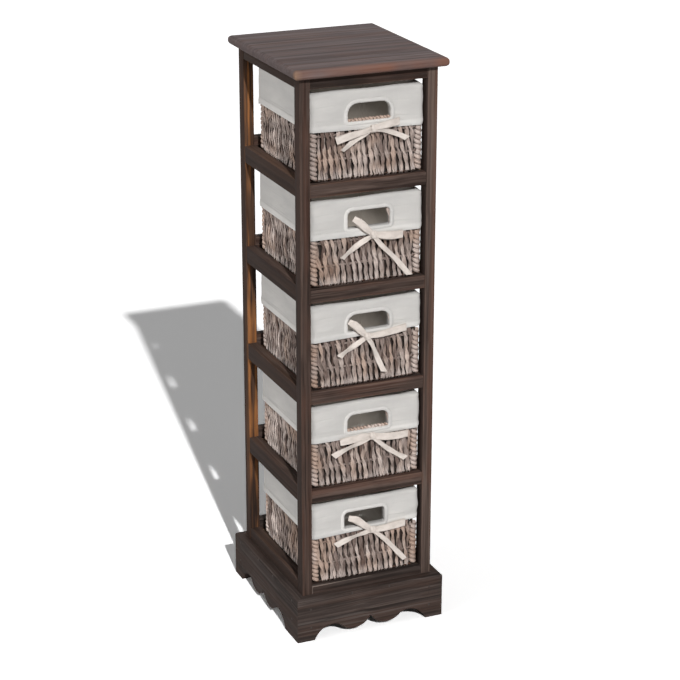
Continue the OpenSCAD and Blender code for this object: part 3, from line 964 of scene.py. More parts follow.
@dataclass
class Carcass:
    """The posts, rails, aprons and top board, with eased edges."""

    ease: float = 1.2 * MM
    sharp: float = 50.0
    short: float = 0.9 * MM
    nail_hole: float = 6 * MM
    many_sided: int = 12
    front_nails: tuple[Pair, ...] = ((112, 25), (112, 60), (35, 76))
    side_nails: tuple[Pair, ...] = ((124, 35), (124, 70), (35, 76))
    board: int = 0
    looks: dict[str, bpy.types.Material] = field(default_factory=dict)

    def build(self) -> None:
        """Builds and dresses every board."""
        self.looks = self.finishes()
        for side in ("front", "rear"):
            for hand, look in (("left", "post"), ("right", "right_post")):
                self.box_board(f"post_{side}_{hand}", look if side == "front" else "rear_post")
        for bay in BAYS:
            for side in ("front", "rear"):
                self.box_board(f"{side}_rail_{bay}", "cross" if bay < BAYS[-1] else "apron")
            for side in ("left", "right"):
                self.box_board(f"{side}_rail_{bay}", "side")
        for side in ("front", "rear", "left", "right"):
            across = side in ("front", "rear")
            self.box_board(f"top_{side}_rail", "shadowed_top_rail" if across else "side")
            self.shaped_board(f"{side}_apron", "apron" if across else "side_apron")
        self.shaped_board("top_board", "top")
        self.stoppers()
        self.dress_nodes()

    @staticmethod
    def finishes() -> dict[str, bpy.types.Material]:
        """Builds the boards' finishes.

        Returns:
            The finishes by name.
        """
        base = {
            "dark": srgb(34, 27, 24),
            "light": srgb(68, 58, 54),
            "stain": srgb(78, 56, 46),
            "stained": 0.3,
            "wash": srgb(102, 93, 89),
            "washed": 0.5,
            "rubbed": srgb(128, 114, 106),
            "worn": 0.8,
        }
        streaked = {
            "light": srgb(86, 61, 45),
            "stain": srgb(164, 108, 62),
            "stained": 0.8,
            "washed": 0.15,
            "across": 400.0,
            "along": 9.0,
        }
        # painted shadow: the top rails are darkened as if shaded by the top board's overhang
        shaded = {"dark": srgb(28, 21, 18), "light": srgb(56, 45, 40), "stained": 0.3, "washed": 0.15}
        top = {
            "dark": srgb(80, 70, 69),
            "light": srgb(118, 107, 106),
            "stain": srgb(108, 80, 70),
            "stained": 0.35,
            "wash": srgb(136, 128, 126),
            "washed": 0.5,
            "rubbed": srgb(122, 80, 62),
            "fronted": 0.75,
            "cornered": 0.5,
            "depth": 0.25 * MM,
        }
        cross = {"light": srgb(90, 74, 67), "stained": 0.4, "rubbed": srgb(110, 84, 70)}
        boards = {
            "post": (Axis.Z, {}),
            "rear_post": (Axis.Z, streaked),
            "right_post": (Axis.Z, {"dark": srgb(50, 40, 36), "light": srgb(98, 82, 74)}),
            "cross": (Axis.X, cross),
            "shadowed_top_rail": (Axis.X, shaded),
            "side": (Axis.Y, {"stain": srgb(94, 68, 50), "stained": 0.4}),
            "apron": (Axis.X, base),
            # the side aprons take less of the painted shade on their left faces
            "side_apron": (Axis.Y, {**base, "left_painted_shade": 0.3}),
            "top": (Axis.X, top),
        }
        timbers = {name: Timber(f"{name}_timber", grain, **look) for name, (grain, look) in boards.items()}
        return {name: timber.material() for name, timber in timbers.items()}

    def box_board(self, node: str, look: str) -> None:
        """Builds a straight board in the box of its CAD node.

        Args:
            node: The CAD node.
            look: The name of the board's finish.
        """
        low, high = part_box(node)
        shape = bmesh.new()
        bmesh.ops.create_cube(shape, size=1.0)
        for vertex in shape.verts:
            for axis in range(3):
                vertex.co[axis] = low[axis] if vertex.co[axis] < 0 else high[axis]
        self.finish_board(shape, node, look, shape.edges[:])

    def shaped_board(self, node: str, look: str) -> None:
        """Builds a board with a shaped outline from a merged copy of its CAD node.

        Args:
            node: The CAD node.
            look: The name of the board's finish.
        """
        shape = bmesh.new()
        shape.from_mesh(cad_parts[node].data)
        bmesh.ops.remove_doubles(shape, verts=shape.verts, dist=0.01 * MM)
        bmesh.ops.dissolve_limit(shape, angle_limit=math.radians(1), verts=shape.verts, edges=shape.edges)
        keep = []
        for edge in shape.edges:
            if len(edge.link_faces) != 2 or edge.calc_face_angle(0.0) < math.radians(self.sharp):
                continue
            start, end = (vertex.co for vertex in edge.verts)
            long = max(abs(start[axis] - end[axis]) for axis in range(3)) > self.nail_hole
            outlines = any(len(face.verts) > self.many_sided for face in edge.link_faces)
            if edge.calc_length() > self.short and (long or outlines):
                keep.append(edge)
        self.finish_board(shape, node, look, keep)

    def finish_board(self, shape: bmesh.types.BMesh, node: str, look: str, edges: list) -> None:
        """Eases a board's edges, marks them as rubbed and its left faces for painted shade, and hands it
        over.

        Args:
            shape: The board's shape.
            node: Its CAD node.
            look: The name of its finish.
            edges: The edges that are eased.
        """
        rub = shape.loops.layers.float.new("rub")
        deep = shape.loops.layers.float.new("deep")
        eased = bmesh.ops.bevel(
            shape, geom=edges, offset=self.ease, segments=2, profile=0.6, affect="EDGES", clamp_overlap=True
        )
        for face in eased["faces"]:
            for loop in face.loops:
                loop[rub] = 1.0
        # painted shade: faces that turn left, away from the key light, are marked for the finish to darken
        for face in shape.faces:
            for loop in face.loops:
                loop[deep] = max(0.0, -face.normal.x)
        self.board += 1
        made = shaped_piece(shape, f"{node}_board", self.looks[look], degrees=35.0)
        seed = made.data.attributes.new("board", "FLOAT", "POINT")
        seed.data.foreach_set("value", [float(self.board)] * len(made.data.vertices))
        hand_over(made, "root", Slot.TIMBER, node)

    def stoppers(self) -> None:
        """Fills the nail holes in the aprons' outer faces."""
        places, ways = [], []
        aprons = (("front", 1, 0), ("rear", 1, 1), ("left", 0, 0), ("right", 0, 1))
        for side, axis, end in aprons:
            sign = 2 * end - 1
            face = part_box(f"{side}_apron")[end][axis]
            for along, z in self.front_nails if axis else self.side_nails:
                for hand in (-1, 1):
                    place = [hand * along * MM, hand * along * MM, z * MM]
                    place[axis] = face - sign * 0.4 * MM
                    places.append(Vector(place))
                    ways.append(Vector((0, sign, 0) if axis else (sign, 0, 0)))
        host = points("stopper_points", places, out=ways)
        filler = Dull("nail_stopper", srgb(30, 23, 20), srgb(58, 46, 40), 900.0, (0.0, 1.0), 0.75, 0.2 * MM)
        made = stopper_recipe().grow("nail_stoppers", host, filler.material())
        hand_over(made, "root", Slot.TIMBER)

    @staticmethod
    def dress_nodes() -> None:
        """Gives the CAD nodes that stay their finishes."""
        raw = {"dark": srgb(96, 76, 60), "light": srgb(146, 120, 96), "stain": srgb(128, 96, 70)}
        plain = Timber("plain_timber", Axis.Y, **raw).material()
        steel = Metal("nail_steel_finish").material()
        wire = Metal("core_wire_finish", steel=srgb(70, 62, 56)).material()
        looks = {"dowels": plain, "apron_nails": steel}
        for bay in BAYS:
            looks[f"runners_{bay}"] = plain
            looks[f"basket_{bay}_wire_frame"] = wire
        for node, look in looks.items():
            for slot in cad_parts[node].material_slots:
                slot.material = look


@dataclass
class Loom:
    """Finishes and recipes that the five baskets share."""

    leaf: bpy.types.Material
    painted_shade_backing: bpy.types.Material
    cotton: bpy.types.Material
    tape: bpy.types.Material
    thread: bpy.types.Material
    strands: Recipe
    coils: Recipe
    stitches: Recipe


@dataclass(frozen=True)
class Bay:
    """What the photo shows of one basket's cover, in millimetres from the basket's middle and bottom.

    The hem has its height at the left and right end. Loops and tails are stations of x, z and the tape's
    width. Painted glow is how strongly the liner's inside glows, a painted light that stands for light coming
    through the cloth; tipped says whether a pale strand shows under the handle opening.
    """

    hem: Pair
    knot: Pair
    loops: tuple[Line, Line]
    tails: tuple[Line, Line]
    hole_round: float
    painted_glow: float
    hole_shift: float = 0.0
    tipped: bool = False


@dataclass
class Cord:
    """Leaf twisted into a cord of two plies; several runs share one mesh."""

    name: str
    sides: int = 7
    ply_turn: float = 1.7 * MM
    places: list[Vector] = field(default_factory=list)
    faces: list[tuple[int, ...]] = field(default_factory=list)
    units: list[Vector] = field(default_factory=list)
    runs: list[float] = field(default_factory=list)
    tones: list[float] = field(default_factory=list)

    def run(
        self, path: list[Vector], thick: float, up: Vector, closed: bool = False, tone: float = 0.4
    ) -> None:
        """Sweeps the cord's section along a line.

        Args:
            path: The line.
            thick: The section's half width.
            up: A direction that the line is never parallel to.
            closed: Whether the line's end meets its start.
            tone: How pale the run is, from 0 to 1.
        """
        sides, first, length, count = self.sides, len(self.places), 0.0, len(path)
        for number, place in enumerate(path):
            ahead = path[(number + 1) % count] if closed else path[min(number + 1, count - 1)]
            behind = path[number - 1] if closed else path[max(number - 1, 0)]
            along = (ahead - behind).normalized()
            out = along.cross(up).normalized()
            over = out.cross(along)
            for side in range(sides):
                angle = 2 * math.pi * side / sides
                bump = 1 + 0.2 * math.cos(2 * angle - length / self.ply_turn)
                self.places.append(place + (out * math.cos(angle) + over * math.sin(angle)) * thick * bump)
                self.units.append(Vector((math.cos(angle), math.sin(angle), 0)))
                self.runs.append(20 * MM + length)
                self.tones.append(tone)
            length += (ahead - place).length
        for number in range(count if closed else count - 1):
            here, there = first + number * sides, first + (number + 1) % count * sides
            for side in range(sides):
                after = (side + 1) % sides
                self.faces.append((here + side, here + after, there + after, there + side))
        if not closed:
            end = first + (count - 1) * sides
            self.faces.append(tuple(first + side for side in reversed(range(sides))))
            self.faces.append(tuple(end + side for side in range(sides)))

    def shape(self) -> bmesh.types.BMesh:
        """Turns the cord into a shape that carries what the leaf's material reads.

        Returns:
            The shape.
        """
        # the tone doubles as front, so the darker cords also take the leaf's painted shade
        carried = {"unit": self.units, "height": self.runs, "tone": self.tones, "front": self.tones}
        mesh = points(self.name, self.places, self.faces, **carried)
        shape = bmesh.new()
        shape.from_mesh(mesh)
        bpy.data.meshes.remove(mesh)
        bmesh.ops.recalc_face_normals(shape, faces=shape.faces)
        return shape


@dataclass
class Basket:
    """One basket: its weave, and the liner and ribbon on it.

    Lengths are in metres from the basket's own middle and bottom: x to the right, y to the rear and z up.
    """

    bay: int
    loom: Loom
    look: Bay
    corner: float = 15.5 * MM
    pitch: float = 5.0 * MM
    scatter: float = 0.8
    strand_inset: float = 3.6 * MM
    strand_top: float = 6 * MM
    knees: Pair = (92 * MM, 134 * MM)
    cores: Pair = (36 * MM, 76 * MM)
    core_radius: float = 2.0 * MM
    core_step: float = 2.6 * MM
    coil_pitches: Pair = (8.4 * MM, 9.0 * MM)
    coil_foot: float = 6 * MM
    upright_insets: tuple[float, float, float] = (7.0 * MM, 5.0 * MM, 6.8 * MM)
    skin: float = 0.3 * MM
    skin_inset: float = 7.3 * MM
    mat: float = 2.2 * MM
    mat_inset: float = 8 * MM
    mat_height: float = 5.2 * MM
    mat_wave: float = 1.2 * MM
    hole_half: Pair = (39 * MM, 16 * MM)
    hole_middle: Pair = (4 * MM, 111 * MM)

    def __post_init__(self) -> None:
        """Takes the basket's place and size from its CAD node, and shifts its handle opening."""
        low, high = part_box(self.part("wicker"))
        self.body = f"basket_{self.bay}"
        self.origin = Vector(((low.x + high.x) / 2, (low.y + high.y) / 2, low.z))
        self.half = Vector(((high.x - low.x) / 2, (high.y - low.y) / 2, high.z - low.z))
        self.draw = random.Random(40 + self.bay)
        self.hole_middle = (self.hole_middle[0] + self.look.hole_shift * MM, self.hole_middle[1])

    def part(self, name: str) -> str:
        """A name of this basket's own."""
        return f"basket_{self.bay}_{name}"

    def build(self) -> None:
        """Builds and dresses the whole basket."""
        self.weave()
        self.wound_corners()
        self.wound_cores()
        self.painted_shade_skin()
        self.floor_mat()
        liner = Liner(self)
        liner.build()
        Ribbon(self, liner.front).build()

    def weave(self) -> None:
        """Stands the leaf strands along the four sides."""
        carried = {name: [] for name in ("out", "parity", "low", "knee", "top")}
        places = []
        hole_x, hole_z = self.hole_middle
        end = self.half.z - self.strand_top
        for way in (Vector((0, -1, 0)), Vector((1, 0, 0)), Vector((0, 1, 0)), Vector((-1, 0, 0))):
            across = Vector((way.y, -way.x, 0))
            reach = abs(way.x) * self.half.x + abs(way.y) * self.half.y - self.strand_inset
            length = 2 * (abs(across.x) * self.half.x + abs(across.y) * self.half.y - self.corner)
            count = round(length / self.pitch)
            for number in range(count + 1):
                aside = self.draw.uniform(-self.scatter, self.scatter) * MM
                along = -length / 2 + length * number / count + aside
                place = self.origin + way * reach + across * along
                spans = [(0.0, self.knees[0], end)]
                if way.y < 0 and abs(place.x - self.origin.x - hole_x) < self.hole_half[0] + 2 * MM:
                    rim = hole_z - self.hole_half[1] - self.draw.uniform(1.0, 3.0) * MM
                    over = hole_z + self.hole_half[1] + 1 * MM
                    spans = [(0.0, rim - 4 * MM, rim), (over, self.knees[1], end)]
                lift = 5 * MM * self.corner_near(place - self.origin, 44 * MM) ** 2
                parity = 1.0 if number % 2 else -1.0
                for start, bend, top in spans:
                    places.append(place)
                    for name, given in zip(carried, (way, parity, start or lift, bend, top)):
                        carried[name].append(given)
        host = points(self.part("strand_points"), places, **carried)
        made = self.loom.strands.grow(self.part("strands"), host, self.loom.leaf, Seed=self.bay * 10)
        hand_over(made, self.body, Slot.LEAF, self.part("wicker"))

    def wound_corners(self) -> None:
        """Winds the leaf round the four corner uprights."""
        for side, hand, pitch in zip(("left", "right"), (-1, 1), self.coil_pitches):
            feet = [Vector((x, y, self.coil_foot)) for x, y in self.corners() if x * hand > 0]
            places = [self.origin + foot for foot in feet]
            host = points(self.part(f"{side}_corner_points"), places)
            name, seed = self.part(f"{side}_corner_coils"), self.bay * 3 + hand
            made = self.loom.coils.grow(name, host, self.loom.leaf, Pitch=pitch, Seed=seed)
            hand_over(made, self.body, Slot.LEAF)

    def corners(self) -> list[Pair]:
        """The places of the four corner uprights' middles."""
        left, right, deep = self.upright_insets
        sides = (-self.half.x + left, self.half.x - right)
        return [(x, side * (self.half.y - deep)) for x in sides for side in (-1, 1)]

    def wound_cores(self) -> None:
        """Winds the leaf round the level and upright core wires and the wire under the handle opening."""
        cord = Cord(self.part("wound_cores"))
        path = []
        outline = [Vector((*place, 0)) for place in self.ring(self.strand_inset, 9 * MM)]
        for start, goal in circle(outline):
            steps = max(1, round((goal - start).length / self.core_step))
            path += [start.lerp(goal, step / steps) for step in range(steps)]
        for level in self.cores:
            cord.run([self.origin + place + UP * level for place in path], self.core_radius, UP, True)
        for x, y in self.corners():
            aside, radius = (1.5 * MM, 5.4 * MM) if x > 0 else (0.0, 4.6 * MM)
            foot = self.origin + Vector((x + aside, y, 0))
            cord.run([foot + Vector((0, 0, step * 4 * MM)) for step in range(2, 21)], radius, RIGHT)
        if self.look.tipped:
            cord.run(self.tipped_path(), 2.3 * MM, RIGHT, tone=1.0)
        hand_over(shaped_piece(cord.shape(), cord.name, self.loom.leaf), self.body, Slot.LEAF)

    def tipped_path(self, around: int = 12) -> list[Vector]:
        """The pale strand that winds round the wire under the handle opening.

        Args:
            around: How many steps one turn has.

        Returns:
            Its line.
        """
        low = self.hole_middle[1] - self.hole_half[1] + 1.4 * MM
        middle = Vector((self.hole_middle[0], -self.half.y + 3.4 * MM, low))
        reach, pitch, swing = self.hole_half[0] - 2 * MM, 6.4 * MM, 2.0 * MM
        steps = int(2 * reach / pitch * around)
        path = []
        for step in range(steps + 1):
            angle = 2 * math.pi * step / around
            along = -reach + 2 * reach * step / steps
            aside = Vector((along, swing * math.cos(angle), swing * math.sin(angle)))
            path.append(self.origin + middle + aside)
        return path

    def ring(self, inset: float, radius: float, steps: int = 5) -> list[Pair]:
        """A rounded outline inside the basket's own.

        Args:
            inset: How far it lies inside the basket's sides.
            radius: Its corners' radius.
            steps: How many steps each corner has.

        Returns:
            Its points, from the front left, as seen from above turning left.
        """
        half_x, half_y = self.half.x - inset - radius, self.half.y - inset - radius
        found = []
        for number, (sx, sy) in enumerate(CORNERS):
            for step in range(steps + 1):
                angle = math.pi + math.pi / 2 * (number + step / steps)
                found.append((sx * half_x + radius * math.cos(angle), sy * half_y + radius * math.sin(angle)))
        return found

    def painted_shade_skin(self) -> None:
        """Builds a dark sheet of painted shade behind the strands, open at the handle."""
        (hole_x, hole_z), (reach_x, reach_z) = self.hole_middle, self.hole_half
        outline = self.ring(self.skin_inset, 12 * MM)
        turn, front = 5, outline[5][1]
        ends = [(hole_x - reach_x - 1 * MM, front), (hole_x + reach_x + 1 * MM, front)]
        outline[turn + 1 : turn + 1] = ends
        levels = [2 * MM, hole_z - reach_z - 2 * MM, hole_z + reach_z + 1 * MM, self.half.z - 14 * MM]
        shape = bmesh.new()
        grid = [[shape.verts.new(self.origin + Vector((x, y, z))) for x, y in outline] for z in levels]
        span(shape, grid, closed=True, kept=lambda row, column: (row, column) != (1, turn + 1))
        made = shaped_piece(shape, self.part("painted_shade_skin"), self.loom.painted_shade_backing, self.skin, 35.0)
        hand_over(made, self.body, Slot.LEAF)

    def floor_mat(self, columns: int = 44, rows: int = 50) -> None:
        """Builds the plaited floor, strips over and under each other, in the painted-shade backing's dark
        leaf.

        Args:
            columns: How many cells it has across.
            rows: How many cells it has from front to rear.
        """
        half_x, half_y = self.half.x - self.mat_inset, self.half.y - self.mat_inset
        shape = bmesh.new()
        grid = []
        for row in range(rows + 1):
            line = []
            for column in range(columns + 1):
                x = half_x * (2 * column / columns - 1)
                y = half_y * (2 * row / rows - 1)
                lift = self.mat_wave * math.cos(math.pi * column / 2) * math.cos(math.pi * row / 2)
                line.append(shape.verts.new(self.origin + Vector((x, y, self.mat_height + lift))))
            grid.append(line)
        span(shape, grid)
        made = shaped_piece(shape, self.part("floor_mat"), self.loom.painted_shade_backing, self.mat)
        hand_over(made, self.body, Slot.LEAF)

    def corner_near(self, place: Vector, reach: float) -> float:
        """How near a place is to the basket's closest corner: 1 there, and 0 from that reach on."""
        gap = Vector((self.half.x - abs(place.x), self.half.y - abs(place.y)))
        return max(0.0, 1 - gap.length / reach)


@dataclass
class Liner:
    """A basket's cotton liner: folded over the rim, with a bound handle opening and a stitched hem."""

    basket: Basket
    rim: float = 4 * MM
    rim_inset: float = 3 * MM
    rim_radius: float = 5 * MM
    fold_out: float = 4.4 * MM
    bag_in: float = 6.4 * MM
    floor: float = 9.6 * MM
    bend_radius: float = 5 * MM
    cloth: float = 1.2 * MM
    droops: Pair = (4.6 * MM, 1.2 * MM)
    push: float = 1.3 * MM
    corner_pull: float = 10 * MM
    hem_width: float = 12 * MM
    stitch: float = 3.4 * MM
    folded: float = 0.44
    hole_foot_round: float = 4 * MM
    flap_length: float = 0.066
    roll_length: float = 0.014
    wall_length: float = 0.137
    bend_length: float = 0.007
    floor_length: float = 0.09

    def __post_init__(self) -> None:
        """Takes the basket's place and size, and turns its look's sizes into metres."""
        basket, look = self.basket, self.basket.look
        self.bay, self.origin, self.half = basket.bay, basket.origin, basket.half
        self.hole_middle, self.hole_half = basket.hole_middle, basket.hole_half
        self.hole_round = look.hole_round * MM
        self.hem = (look.hem[0] * MM, look.hem[1] * MM)
        self.shoulder = self.half.z - self.rim
        self.front = -self.half.y + self.rim_inset - self.fold_out
        self.columns = self.rim_columns()

    def build(self) -> None:
        """Builds the cotton liner: outer fold, rim, bag with its floor, and the bound handle opening."""
        columns, basket = self.columns, self.basket
        shape = bmesh.new()
        cloth = shape.loops.layers.float_vector.new(CLOTH)
        flats = [0.0]
        for (start, *_), (end, *_) in circle(columns):
            flats.append(flats[-1] + (end - start).length)
        plan = self.rows()
        rows = []
        for _, placer, at in plan:
            rows.append([shape.verts.new(self.origin + placer(column, at)) for column in columns])
        walls = 56

        def spread(row: int, column: int) -> tuple[float, float, float]:
            """The cloth coordinate at a row and column."""
            return flats[column], plan[row][0], basket.look.painted_glow

        def kept(row: int, column: int) -> bool:
            """Whether the liner has cloth at a cell.

            Args:
                row: The cell's row.
                column: Its column.

            Returns:
                True, or False inside the handle opening.
            """
            after = (column + 1) % len(columns)
            if row >= walls or columns[column][1].y >= -0.99 or columns[after][1].y >= -0.99:
                return True
            corners = (rows[row][column], rows[row][after], rows[row + 1][after], rows[row + 1][column])
            middle = sum((corner.co for corner in corners), Vector()) / 4 - self.origin
            return self.hole_away(middle.x, middle.z)[0] >= 0

        span(shape, rows, closed=True, cloth=spread, kept=kept)
        for loop in shape.faces.new(rows[-1]).loops:
            loop[cloth] = Vector((loop.vert.co.x - self.origin.x, -0.24, basket.look.painted_glow))
        self.trim_hole(shape)
        self.bind_hole(shape)
        loose = [vertex for vertex in shape.verts if not vertex.link_faces]
        bmesh.ops.delete(shape, geom=loose, context="VERTS")
        area = sum(face.calc_area() for face in shape.faces)
        made = shaped_piece(shape, basket.part("cotton_liner"), basket.loom.cotton, self.cloth)
        hand_over(made, basket.body, Slot.CLOTH, basket.part("liner"))
        stitches = self.stitches()
        basket.part("strands")

    def rows(self) -> list[tuple[float, Callable, float]]:
        """The liner's rows from the outer fold's hem to the floor's middle.

        Returns:
            Each row's length down the cloth from the rim, what places it, and its share or angle there.
        """
        roll, wall, turn, base = self.roll_length, self.wall_length, self.bend_length, self.floor_length
        rows = [(self.flap_length * (1 - step / 24), self.outside, step / 24) for step in range(25)]
        rows += [(-roll * step / 8, self.over, math.pi * step / 8) for step in range(1, 8)]
        rows += [(-roll - wall * (step / 30), self.inside, step / 30) for step in range(31)]
        down = -roll - wall
        rows += [(down - turn * step / 3, self.bend, math.pi / 2 * step / 3) for step in range(1, 4)]
        down -= turn
        shares = (0.85, 0.68, 0.5, 0.32, 0.16, 0.05)
        rows += [(down - base * (1 - share), self.base, share) for share in shares]
        return rows

    def outside(self, column: Column, share: float) -> Vector:
        """A place on the outer fold.

        Args:
            column: The liner's column.
            share: The share of the fold's height.

        Returns:
            The place on the liner.
        """
        place, way, corner = column
        low = self.hem_height(place, way)
        z = low + (self.shoulder - sum(self.sag(place)) - low) * share
        puff = noise.noise(Vector((place.x * 20, place.y * 20, share * 3 + self.bay * 7)))
        leftward = way.x < -0.3
        room = 0.5 if leftward else 1.6
        calm = 1.0
        if way.y < -0.9:
            calm = min(1.0, max(0.05, (self.hole_away(place.x, z)[0] - 5 * MM) / (16 * MM)))
        full = math.sin(math.pi * min(1.0, share * 1.1)) * room * MM * (0.8 + puff) * calm
        if leftward:
            full = min(full, 0.9 * MM)
        hem = 0.0
        if z - low < self.hem_width:
            hem = 1.1 * MM * math.sin(math.pi * (0.15 + 0.85 * (z - low) / self.hem_width))
        flare = (1 - share) ** 2 * (0.6 + puff) * room * 0.6 * MM
        away = self.fold_out + full + hem + flare + corner * 0.8 * MM + self.pushed(place) * share
        return place + way * away + Vector((0, 0, z))

    def over(self, column: Column, angle: float) -> Vector:
        """A place on the rolled rim.

        Args:
            column: The liner's column.
            angle: The angle from the outside.

        Returns:
            The place on the liner.
        """
        place, way, corner = column
        outer, inner = self.fold_out, -self.bag_in
        middle, reach = (outer + inner) / 2, (outer - inner) / 2
        wave, droop = self.sag(place)
        droop = wave + droop * (1 - 0.62 * math.sin(angle))
        more = corner * 0.8 * MM + self.pushed(place)
        wide = middle + reach * math.cos(angle) + more * math.cos(angle / 2) ** 2
        away = way * wide + self.tuck(place) * (1 - math.cos(angle)) / 2
        return place + away + Vector((0, 0, self.shoulder - droop + self.rim * math.sin(angle)))

    def inside(self, column: Column, share: float) -> Vector:
        """A place on the bag's wall.

        Args:
            column: The liner's column.
            share: The share of the bag's depth.

        Returns:
            The place on the liner.
        """
        place, way, corner = column
        depth = (self.shoulder - self.floor - self.bend_radius) * share
        z = self.shoulder - sum(self.sag(place)) * (1 - share) - depth
        puff = noise.noise(Vector((place.x * 26, place.y * 26, share * 2.5 + self.bay * 3))) + 0.4
        fold = noise.noise(Vector((place.x * 60, place.y * 60, share * 1.2 + self.bay))) * corner
        away = -self.bag_in - max(0.0, puff) * 2.0 * MM * math.sin(math.pi * share)
        return place + way * (away - abs(fold) * 2.0 * MM) + self.tuck(place) + Vector((0, 0, z))

    def bend(self, column: Column, angle: float) -> Vector:
        """A place in the bend between the bag's wall and floor.

        Args:
            column: The liner's column.
            angle: The angle from the wall.

        Returns:
            The place on the liner.
        """
        place, way, _ = column
        away = -self.bag_in - self.bend_radius * (1 - math.cos(angle))
        z = self.floor + self.bend_radius * (1 - math.sin(angle))
        return place + way * away + self.tuck(place) + Vector((0, 0, z))

    def base(self, column: Column, share: float) -> Vector:
        """A place on the bag's floor.

        Args:
            column: The liner's column.
            share: The share of the way from the floor's middle to its edge.

        Returns:
            The place on the liner.
        """
        place, way, _ = column
        edge = place + way * (-self.bag_in - self.bend_radius) + self.tuck(place)
        lift = (noise.noise(Vector((edge.x * share * 30, edge.y * share * 30, self.bay))) + 0.5) * 1.2 * MM
        return Vector((edge.x * share, edge.y * share, self.floor + max(0.0, lift)))

    def sag(self, place: Vector) -> Pair:
        """Lets the rim hang.

        Args:
            place: A place on the rim's middle line.

        Returns:
            How far the rim hangs there by its own waves, and by its droop to the corners.
        """
        wave = noise.noise(Vector((place.x * 14, place.y * 14, self.bay * 5.0)))
        near = self.basket.corner_near(place, 34 * MM)
        return 2.0 * MM * wave * (1 - near), self.droops[0 if place.x < 0 else 1] * near * near

    def pushed(self, place: Vector) -> float:
        """How far the rim stands out further towards the two right corners."""
        return self.push * self.basket.corner_near(place, 40 * MM) if place.x > 0 else 0.0

    def tuck(self, place: Vector) -> Vector:
        """Draws the bag in near the wound corners.

        Args:
            place: A place on the rim's middle line.

        Returns:
            The way and distance that the bag is drawn in there.
        """
        near = self.basket.corner_near(place, 26 * MM)
        pull = self.corner_pull * near * near * (3 - 2 * near) * math.sqrt(0.5)
        return Vector((-math.copysign(pull, place.x), -math.copysign(pull, place.y), 0))

    def hem_height(self, place: Vector, way: Vector) -> float:
        """The height of the liner's lower hem at a place whose side faces that way."""
        share = min(max(place.x / (2 * self.half.x) + 0.5, 0.0), 1.0) if way.y < 0.5 else 0.5
        return self.hem[0] + (self.hem[1] - self.hem[0]) * share

    def rim_columns(self, turns: int = 6) -> list[Column]:
        """The liner's columns round the basket.

        Args:
            turns: How many steps each corner has.

        Returns:
            Each column's place at the rim's middle line, its way outwards, and its share of a corner, 0 to 1.
        """
        radius = self.rim_radius
        half_x, half_y = self.half.x - self.rim_inset - radius, self.half.y - self.rim_inset - radius
        centres = [Vector((sx * half_x, sy * half_y, 0)) for sx, sy in CORNERS]
        found = []
        for number, ((centre, goal), count) in enumerate(zip(circle(centres), (56, 30, 26, 30))):
            for step in range(turns + 1):
                angle = math.pi + math.pi / 2 * (number + step / turns)
                way = Vector((math.cos(angle), math.sin(angle), 0))
                found.append((centre + way * radius, way, math.sin(math.pi * step / turns)))
            start, end = centre + way * radius, goal + way * radius
            found += [(start.lerp(end, step / count), way, 0.0) for step in range(1, count)]
        return found

    def trim_hole(self, shape: bmesh.types.BMesh) -> None:
        """Moves the cut cloth's edge on to the handle opening's outline.

        Args:
            shape: The liner's shape.
        """
        for vertex in shape.verts:
            local = vertex.co - self.origin
            if not vertex.is_boundary or not vertex.link_faces or local.y > -self.half.y + 20 * MM:
                continue
            away, way = self.hole_away(local.x, local.z)
            if abs(away) < 4 * MM:
                vertex.co.x -= way[0] * away
                vertex.co.z -= way[1] * away

    def bind_hole(self, shape: bmesh.types.BMesh) -> None:
        """Adds the bias binding that covers the handle opening's edge from the outer fold to the bag.

        Args:
            shape: The liner's shape.
        """
        front, back = self.front, -self.half.y + self.rim_inset + self.bag_in
        section = (
            (4.6, front + 0.3 * MM),
            (4.0, front - 0.4 * MM),
            (2.9, front - 0.8 * MM),
            (1.4, front - 0.8 * MM),
            (0.3, front - 0.5 * MM),
            (0.0, front + 0.4 * MM),
            (0.4, (front + back) / 2),
            (0.2, back + 0.8 * MM),
            (0.8, back + 1.2 * MM),
            (3.4, back + 1.2 * MM),
            (4.4, back + 0.4 * MM),
        )
        edge = self.hole_edge()
        rows = []
        for out, y in section:
            row = [Vector((x + way[0] * out * MM, y, z + way[1] * out * MM)) for (x, z), way in edge]
            rows.append([shape.verts.new(self.origin + place) for place in row])

        def spread(row: int, column: int) -> tuple[float, float, float]:
            """The cloth coordinate at a row and column of the binding."""
            return column * 3 * MM, 0.0556 + row * 0.05 * MM, 0.0

        span(shape, rows, closed=True, cloth=spread, cell=((0, 0), (1, 0), (1, 1), (0, 1)))

    def hole_away(self, x: float, z: float) -> tuple[float, Pair]:
        """How far a place on the front is from the handle opening's edge.

        Args:
            x: The place across the basket.
            z: Its height.

        Returns:
            The distance, below zero inside the opening, and the way to the edge's outside.
        """
        dx, dz = x - self.hole_middle[0], z - self.hole_middle[1]
        radius = self.hole_round if dz > 0 else self.hole_foot_round
        over_x = abs(dx) - (self.hole_half[0] - radius)
        over_z = abs(dz) - (self.hole_half[1] - radius)
        sign_x, sign_z = math.copysign(1, dx), math.copysign(1, dz)
        if over_x > 0 and over_z > 0:
            length = math.hypot(over_x, over_z)
            return length - radius, (sign_x * over_x / length, sign_z * over_z / length)
        if over_x > over_z:
            return over_x - radius, (sign_x, 0.0)
        return over_z - radius, (0.0, sign_z)

